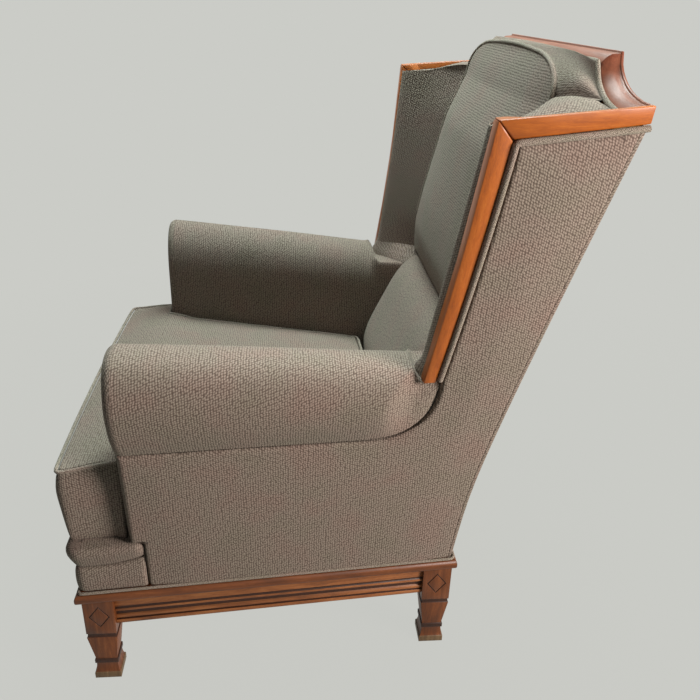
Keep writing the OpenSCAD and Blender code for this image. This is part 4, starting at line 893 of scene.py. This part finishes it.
def back_outline(spacing):
    w, low, high = back_pad_w / 2, back_foot_z, back_top_z - 4
    half = [(0, low), (w - 12, low)] + arc((w - 12, low + 12), 12, -math.pi / 2, 0, 5) + [(w, crest_foot_z)]
    half += [(w - back_pad_corner_w * (1 - math.cos(a)), high - back_pad_corner_h * (1 - math.sin(a)))
             for a in math.radians(80) * np.linspace(0, 1, 24)]
    half += [(back_level_x * t, high + 4 * (1 - t * t)) for t in np.linspace(0.85, 0, 10)]
    return mirrored_ring(half, spacing)


def back_crown(x, z):
    return 16 * (1 - clamp(np.abs(2 * x / back_pad_w)) ** 3) * (1 - clamp(np.abs(2 * back_share(z) - 1)) ** 4)


def make_back():
    ring = back_outline(6)
    middle = np.array([0, (back_foot_z + back_top_z) / 2])

    def scaled(s):
        return middle + s * (ring - middle)

    inner, low, seat = (scaled(s) for s in (0.6, 0.93, 0.94))
    low[:, 1] = np.minimum(low[:, 1], crest_foot_z)
    rear = [upright(inner, pad_rear_y(inner[:, 1])), upright(low, pad_rear_y(low[:, 1])),
            upright(seat, back_seat_y(seat[:, 1]))]
    # The rear edge spreads to the crest over the wing pads, with the pad's own outline below it
    x, z = ring[:, 0], ring[:, 1]
    top = z > crest_foot_z + 5
    t = clamp((back_pad_w / 2 - np.abs(x)) / back_pad_corner_w)
    swept = crest_level_x + 47 * (1 - np.sin(t * math.pi / 2)) ** 1.5
    wide = np.where(np.abs(x) > back_level_x, swept, crest_level_x * np.abs(x) / back_level_x)
    spread = np.where(top, np.sign(x) * wide, x)
    spread_z = np.where(top, crest_z(spread) - 14, z)
    rear.append(points_of(spread, back_seat_y(z), spread_z))
    lip = upright(ring, back_edge_y(z) + 6)
    border = []
    for s in (0.15, 0.35, 0.55, 0.75, 0.92):
        p = lerp(rear[-1], lip, s)
        rise = ease(clamp((z - crest_foot_z - 5) / 30))
        p[:, 2] += np.where(top, lerp(3, 9, rise) * 4 * s * (1 - s), 0)
        border.append(p)
    turns = np.linspace(0.2, 1, 6) * math.pi / 2
    steps = [(1 - 0.026 * (1 - math.cos(a)), 6 * (1 - math.sin(a))) for a in turns]
    front = []
    for s, roll in steps + [(s, 0) for s in np.linspace(0.95, 0, 36)]:
        p = scaled(s)
        front.append(upright(p, back_edge_y(p[:, 1]) + roll - back_crown(p[:, 0], p[:, 1])))
    wall = closed_ring(np.array(rear + border + [lip]))
    face = closed_ring(np.array([lip] + front))
    face[..., 1] += ripple(face, 1.2, 52) * clamp(np.arange(len(face)) / 20)[:, None]
    face[-1] = face[-1].mean(axis=0)
    hidden = closed_ring(np.array(toward_middle(rear[0], (0, 1))))
    around = run_along(closed_ring(lip[None]), 1)
    patches = [measured(hidden, "x", "z"), measured(wall, around, run_along(wall, 0))]
    patches.append(measured(face, "z", "x"))
    padded_piece("back_pad_cover", "back_pad", patches)
    half = [(x, z) for x, z in back_outline(8) if z > 700 and x >= 0]
    # Up the straight side first, and then inward over the top
    turn_x = back_pad_w / 2 - 0.5
    half.sort(key=lambda p: (1, -p[0]) if p[0] < turn_x else (0, p[1]))
    line = np.array(half + [(-x, z) for x, z in half[::-1] if x > 0.1])
    path = upright(line, back_edge_y(line[:, 1]) + 0.6)
    piping("back_pad_cord", "back_pad_piping", path, 7, (0, -1, 0))


strip_low_z = wing_z - 26 - gap
thick_from_y, thick_to_y = edge_rear_y(wing_z - 26), back_y(crest_foot_z)
thick_start_y, thick_end_y = (lerp(thick_from_y, thick_to_y, s) + gap for s in (0.08, 0.16))


def wing_ring(z):
    """A ring round a wing pad at a height: beside the show wood, along the inner face, and back behind."""
    yw = wing_y(z) + lerp(1, 4, clamp(wing_share(z) * 8))
    strip = z > strip_low_z
    ya = thick_end_y if strip else edge_rear_y(z) + panel_edge_gap
    yb = thick_start_y if strip else ya
    yr = pad_rear_y(z) if z < wing_z - 9.5 else crest_pad_y
    above = z >= lumbar_top_z
    yq = (back_edge_y(z) if above else lumbar_y(z)) + 20
    bulge = lerp(5, -9, clamp(wing_share(z)) ** 2)

    def seat_x(y):
        return back_pad_w / 2 + gap if above else arm_x(y)

    def panel_x(y):
        return side_x(y, z) - (edge_top_t + gap)

    def edge_x(y):
        return side_x(y, z) - edge_t - gap

    a = np.array([edge_x(yw), yw])
    q = np.array([seat_x(yq), yq])
    n = np.array([q[1] - a[1], a[0] - q[0]])
    n /= np.linalg.norm(n)
    u = np.linspace(0, 1, 30)[:, None]
    # The padding turns round a small edge beside the wood before it runs back
    roll = 24 * (1 - np.exp(-u * 22)) * np.exp(-(u / 0.36) ** 2)
    inside = lerp(a, q, u) - n * (bulge * 4 * u * (1 - u) + roll)
    points = [(panel_x(ya), ya), (edge_x(yb), yb)] + list(inside)
    points += [(seat_x(yr), yr), (lerp(seat_x(yr), panel_x(yr), 0.5), yr), (panel_x(yr), yr)]
    p = np.array(points)
    rise = clamp((z - lumbar_top_z) / (wing_z - lumbar_top_z))
    return np.column_stack([p, z + (wing_top_z(p[:, 1]) - wing_z) * rise])


def make_wing_pad(side, word):
    heights = [wing_foot_z + gap, 612, lumbar_top_z + gap, lumbar_top_z + 3 * gap]
    heights += list(np.linspace(640, strip_low_z, 36))
    heights += [strip_low_z + gap, strip_low_z + 8, wing_z - 14, wing_z - 11.5, wing_z - 9]
    body = [wing_ring(z) for z in heights]
    last = body[-1].copy()

    def off_wood(row):
        return ease(clamp((side_x(row[:, 1], wing_z) - row[:, 0] - 22) / 60))

    wood = 1 - off_wood(last)
    body[-1][:, 2] += 5 * (1 - wood) * ease(clamp((last[:, 1] - wing_top_y - 60) / 110)) - 3 * wood
    rows = toward_middle(last, (0.97, 0.9, 0.75, 0.5, 0.25, 0))
    for row, lift in zip(rows, (6, 10, 12.6, 14, 14, 14)):
        share = off_wood(row) * ease(clamp((row[:, 1] - wing_top_y - 20) / 110))
        row[:, 2] += lift * share - 4 * (1 - share)
    grid = both(closed_ring(np.array(toward_middle(body[0], (0,)) + body + rows)), side)
    split = len(heights) + 1
    around = run_along(grid[20:21], 1)
    patches = [measured(grid[:split], around, "z"), measured(grid[split - 1:], "x", "y")]
    padded_piece("wing_pad_cover_" + word, "wing_pad_" + word, patches)


def make_outside_back():
    z = np.linspace(band_z, crest_foot_z - gap, 70)[:, None]
    half = side_x(back_y(z), z) - 1.5 - 10 * clamp((z - crest_foot_z + 8) / 3)
    x = (2 * cosine_steps(61) - 1) * half
    edge = np.minimum(half - np.abs(x), np.minimum(z - band_z, crest_foot_z - gap - z))
    y = back_y(z) + 2.5 * clamp(edge / 12) - 1.5 * clamp(1 - edge / 3) ** 2
    patches = slab(points_of(x, y, z), points_of(x, back_y(z) - 6, z), ("x", "z"))
    padded_piece("outside_back_cover", "outside_back", patches)


def make_wing_cord(side, word):
    off = 4.5 + gap
    corner_y = edge_rear_y(panel_top_z(wing_top_y)) + off
    corner_z = panel_top_z(corner_y) + off
    path = [(edge_rear_y(z) + off, z) for z in np.linspace(wing_foot_z + off, corner_z - 4, 40)]
    path += [(corner_y + 4 * (1 - math.cos(t)), corner_z - 4 * (1 - math.sin(t)))
             for t in np.linspace(0.15, 0.85, 5) * math.pi / 2]
    path += [(y, panel_top_z(y) + off) for y in np.linspace(corner_y + 4, back_y(crest_foot_z) - 1, 24)]
    line = np.array([(side * (side_x(y, z) + 0.5), y, z) for y, z in path])
    piping("wing_cord_" + word, "wing_piping_" + word, line, 9, (1, 0, 0))


def make_base_cord():
    out, r = 2, 6
    front, rear = leg_front_y - out, leg_rear_y + out
    path = arc((plan_x(front, out) - r, front + r), r, -math.pi / 2, taper, 8)
    path += arc((plan_x(rear, out) - r, rear - r), r, taper, math.pi / 2, 8)
    path += [(-x, y) for x, y in path[::-1]]
    x, y = even_ring(np.array(path), 8).T
    line = points_of(x, y, plinth_z + base_piping_d / 2)
    piping("base_cord", "base_piping", line, base_piping_d, (0, 0, 1), closed=True)


def make_crest_cord():
    end_x = side_x(rear_y, crest_end_z) - 10 - gap
    half = np.linspace(lerp(crest_level_x, end_x, 0.9), 0, 60)
    x = np.concatenate([half, -half[-2::-1]])
    path = points_of(x, crest_front_y - gap - 4, crest_z(x) - 14)
    piping("crest_cord", "crest_piping", path, 8, (0, -1, 0))


make_cushion()
wrap("front_band_cover", "front_band", band_section)
wrap("front_bolster_cover", "front_bolster", bolster_section, lap_patches())
for side, word in ((1, "left"), (-1, "right")):
    make_arm(side, word)
    make_panel(side, word)
    make_wing_pad(side, word)
    make_wing_cord(side, word)
make_lumbar()
make_back()
make_outside_back()
make_base_cord()
make_crest_cord()


# Show wood: a merged copy of each frame piece with its arrises softened, and the hidden frame in raw wood
neck_and_ring = ((101.3, 109.6), (36, 43.2))
reeds = ((156.2, 160.9), (141.5, 150), (131.6, 134.2))
diamond_low_z, diamond_high_z = 124, 172
foot_edge_z = 13


def deselect():
    if bpy.context.object and bpy.context.object.mode != "OBJECT":
        bpy.ops.object.mode_set(mode="OBJECT")
    bpy.ops.object.select_all(action="DESELECT")


def only_material(piece, material):
    piece.data.materials.clear()
    piece.data.materials.append(material)


def shade_bands(piece, bands):
    """Painted shade: a darker wood on the faces whose height lies in one of the bands."""
    piece.data.materials.append(groove_shade_wood)
    for face in piece.data.polygons:
        z = face.center.z / MM
        face.material_index = int(any(low < z < high for low, high in bands))


def shade_grooves_and_wear_foot(piece):
    """Painted shade in the diamond, the neck and the ring, and bare worn wood on the foot's edge."""
    shade_bands(piece, neck_and_ring)
    piece.data.materials.append(worn_wood)
    corners = np.array([corner[:] for corner in piece.bound_box]) / MM
    middle = (corners.min(axis=0) + corners.max(axis=0)) / 2
    for face in piece.data.polygons:
        x, y, z = np.array(face.center) / MM - (middle[0], middle[1], 0)
        if z < foot_edge_z:
            face.material_index = 2
        # The diamond's faces lie a little inside the block's own
        if diamond_low_z < z < diamond_high_z and max(abs(x), abs(y)) < leg_w / 2 - 0.35:
            face.material_index = 1


def softened(node, material, width_mm):
    """A copy of a frame piece with its arrises rounded, in its show wood."""
    source = nodes[node]
    piece = source.copy()
    piece.data = source.data.copy()
    piece.name = node + "_wood"
    piece.parent = None
    for key in list(piece.keys()):
        del piece[key]
    bpy.context.scene.collection.objects.link(piece)
    deselect()
    piece.hide_render = False
    piece.hide_viewport = False
    piece.select_set(True)
    bpy.context.view_layer.objects.active = piece
    bpy.ops.object.mode_set(mode="EDIT")
    bpy.ops.mesh.select_all(action="SELECT")
    bpy.ops.mesh.remove_doubles(threshold=0.00001)
    bpy.ops.mesh.dissolve_limited(angle_limit=math.radians(1.5))
    bpy.ops.mesh.normals_make_consistent(inside=False)
    bpy.ops.object.mode_set(mode="OBJECT")
    bevel = piece.modifiers.new("arris", "BEVEL")
    bevel.width = width_mm * MM
    bevel.segments = 2
    bevel.limit_method = "ANGLE"
    bevel.angle_limit = math.radians(28)
    bevel.harden_normals = False
    bpy.ops.object.modifier_apply(modifier="arris")
    bpy.ops.object.shade_smooth_by_angle(angle=math.radians(35))
    only_material(piece, material)
    if node.startswith("leg_"):
        shade_grooves_and_wear_foot(piece)
    if node.startswith("apron_"):
        shade_bands(piece, reeds)
    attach(piece, "frame")
    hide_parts(node)


for place in ("front_left", "front_right", "rear_left", "rear_right"):
    softened("leg_" + place, dark_wood_z, 0.4)
for place in ("front", "rear"):
    softened("apron_" + place, rail_wood_x, 0.3)
    softened("plinth_" + place, dark_wood_x, 0.8)
for place in ("left", "right"):
    softened("apron_" + place, rail_wood_y, 0.3)
    softened("plinth_" + place, dark_wood_y, 0.8)
    softened("wing_edge_front_" + place, edge_wood_z, 2.4)
    softened("wing_edge_top_" + place, edge_wood_y, 1.8)
softened("crest_middle", crest_wood, 1.0)
for place in ("left", "right"):
    softened("crest_end_" + place, crest_wood, 0.8)
for material, names in (
        (frame_wood_x, "seat_rail_front seat_rail_rear corner_blocks back_top_rail back_bottom_rail"),
        (frame_wood_y, "seat_rail_left seat_rail_right arm_rail_left arm_rail_right"),
        (frame_wood_z, "arm_stump_left arm_stump_right back_post_left back_post_right"),
        (steel, "frame_screws seat_springs spring_clips")):
    for node in names.split():
        only_material(nodes[node], material)


# The sheets under and behind the padding, of which only the dust cover sags
def make_sheet(node, grid, thickness, across, along, material):
    normal = np.cross(grid[1:, 1:] - grid[:-1, 1:], grid[1:, 1:] - grid[1:, :-1]).mean(axis=(0, 1))
    normal /= np.linalg.norm(normal)
    back = grid + normal * thickness
    patches = slab(grid, back, (across, along), (across, along))
    piece = shell(node + "_cloth", node, patches, material)


def level_grid(front_y, rear_y, half_at, z, sag):
    y = np.linspace(front_y, rear_y, 25)[:, None]
    u = np.linspace(-1, 1, 25)[None]
    x = u * half_at(y)
    t = (y - front_y) / (rear_y - front_y)
    return points_of(x, y, z - sag * (1 - u ** 2) * 4 * t * (1 - t))


platform_z = pads_low_z - gap - 2.4
platform_rear_y = frame_y(platform_z) - gap
grid = level_grid(leg_front_y + 14, platform_rear_y, lambda y: plan_x(y, -40.4), platform_z, 0)
make_sheet("seat_platform", grid, 2.4, "x", "y", felt)
grid = level_grid(leg_front_y + 54, leg_rear_y - 54, lambda y: plan_x(y, -54), leg_h - 1, 2.5)
make_sheet("dust_cover", grid, 1.0, "x", "y", dust_cloth)
z = np.linspace(306, crest_foot_z - gap, 40)[:, None]
grid = points_of(np.linspace(-220, 220, 25), frame_y(z) - 2, z)
make_sheet("back_webbing", grid, 1.6, "x", "z", webbing)


# Studio: a pale floor, a wide overhead light, a soft key from the near side and the photograph's camera
def make_stage():
    material, put, shader = new_material("matt_grey_paper_floor", roughness=0.9)
    pale = linear("#cbccc7")
    place = put(COORDS)["Object"]
    speck = put(NOISE, {"Vector": place, "Scale": 220.0, "Detail": 2.0})[0]
    wire(shader, put(RAMP, {0: speck}, [(0.3, "#83837e"), (0.7, "#8a8a85")])[0])
    rays = put("ShaderNodeLightPath")
    glow = put("ShaderNodeEmission", {"Color": pale, "Strength": 1.0})[0]
    seen = put(MATH, {0: rays["Is Camera Ray"], 1: rays["Is Glossy Ray"]}, operation="MAXIMUM")[0]
    seen = put(MATH, {0: seen, 1: rays["Is Transmission Ray"]}, operation="MAXIMUM")[0]
    # The shadow shows near the chair and fades to the plain backdrop within two metres
    far = put(VECTOR, {0: place}, operation="LENGTH")["Value"]
    plain = put(RANGE, {"Value": far, 1: 0.5, 2: 2.0, 3: 0.95, 4: 1.0})[0]
    part = put(MATH, {0: seen, 1: plain}, operation="MULTIPLY")[0]
    mixed = put("ShaderNodeMixShader", {0: part, 1: shader.outputs[0], 2: glow})[0]
    tree = material.node_tree
    tree.links.new(mixed, next(n for n in tree.nodes if n.type == "OUTPUT_MATERIAL").inputs[0])
    deselect()
    bpy.ops.mesh.primitive_circle_add(vertices=96, radius=12, fill_type="NGON", location=(0, 0, 0))
    floor = bpy.context.object
    floor.name = "floor"
    floor.data.materials.append(material)
    world = bpy.data.worlds.new("studio")
    bpy.context.scene.world = world
    world.use_nodes = True
    world.node_tree.nodes.clear()
    put = partial(add, world.node_tree)
    rays = put("ShaderNodeLightPath")
    seen = put(MATH, {0: rays["Is Camera Ray"], 1: rays["Is Glossy Ray"]}, operation="MAXIMUM")[0]
    fill = put("ShaderNodeBackground", {"Color": linear("#f2f4f4"), "Strength": WORLD_FILL})[0]
    back = put("ShaderNodeBackground", {"Color": pale, "Strength": 1.0})[0]
    put("ShaderNodeOutputWorld", {0: put("ShaderNodeMixShader", {0: seen, 1: fill, 2: back})[0]})


def soft_light(name, place, target, size, watts, colour):
    light = bpy.data.lights.new(name, "AREA")
    light.shape = "RECTANGLE"
    light.size, light.size_y = size
    light.energy = watts
    light.color = linear(colour)[:3]
    lamp = bpy.data.objects.new(name, light)
    bpy.context.scene.collection.objects.link(lamp)
    way = Vector(target) - Vector(place)
    lamp.matrix_world = Matrix.Translation(place) @ way.to_track_quat("-Z", "Y").to_matrix().to_4x4()


WORLD_FILL = 0.09
make_stage()
soft_light("overhead_light", (-0.6, 0.25, 3.0), (0, 0, 0.6), (1.5, 1.5), 114, "#ebfbfa")
soft_light("near_rear_light", (1.45, 1.9, 1.25), (0.3, 0.2, 0.7), (0.8, 0.8), 74, "#fff4ef")
soft_light("front_light", (-0.4, -3.0, 1.9), (0, 0, 0.5), (1.4, 1.6), 3.5, "#fbfcff")

yaw, pitch, roll = math.radians(5.4), math.radians(25.3), math.radians(1.9)
forward = Vector((-math.cos(yaw) * math.cos(pitch), math.sin(yaw) * math.cos(pitch), -math.sin(pitch)))
level = forward.cross(Vector((0, 0, 1))).normalized()
upward = level.cross(forward)
right = level * math.cos(roll) + upward * math.sin(roll)
top = upward * math.cos(roll) - level * math.sin(roll)
lens = bpy.data.cameras.new("camera")
lens.sensor_width = 36
# Fitted as 740.3 pixels of focal length in a picture 700 pixels wide
lens.lens = 740.3 * lens.sensor_width / 700
camera = bpy.data.objects.new("camera", lens)
bpy.context.scene.collection.objects.link(camera)
camera.matrix_world = Matrix.Translation((1.3322, -0.0458, 1.1243)) @ Matrix(
    (right, top, -forward)).transposed().to_4x4()
bpy.context.scene.camera = camera
bpy.context.scene.view_settings.view_transform = "Standard"
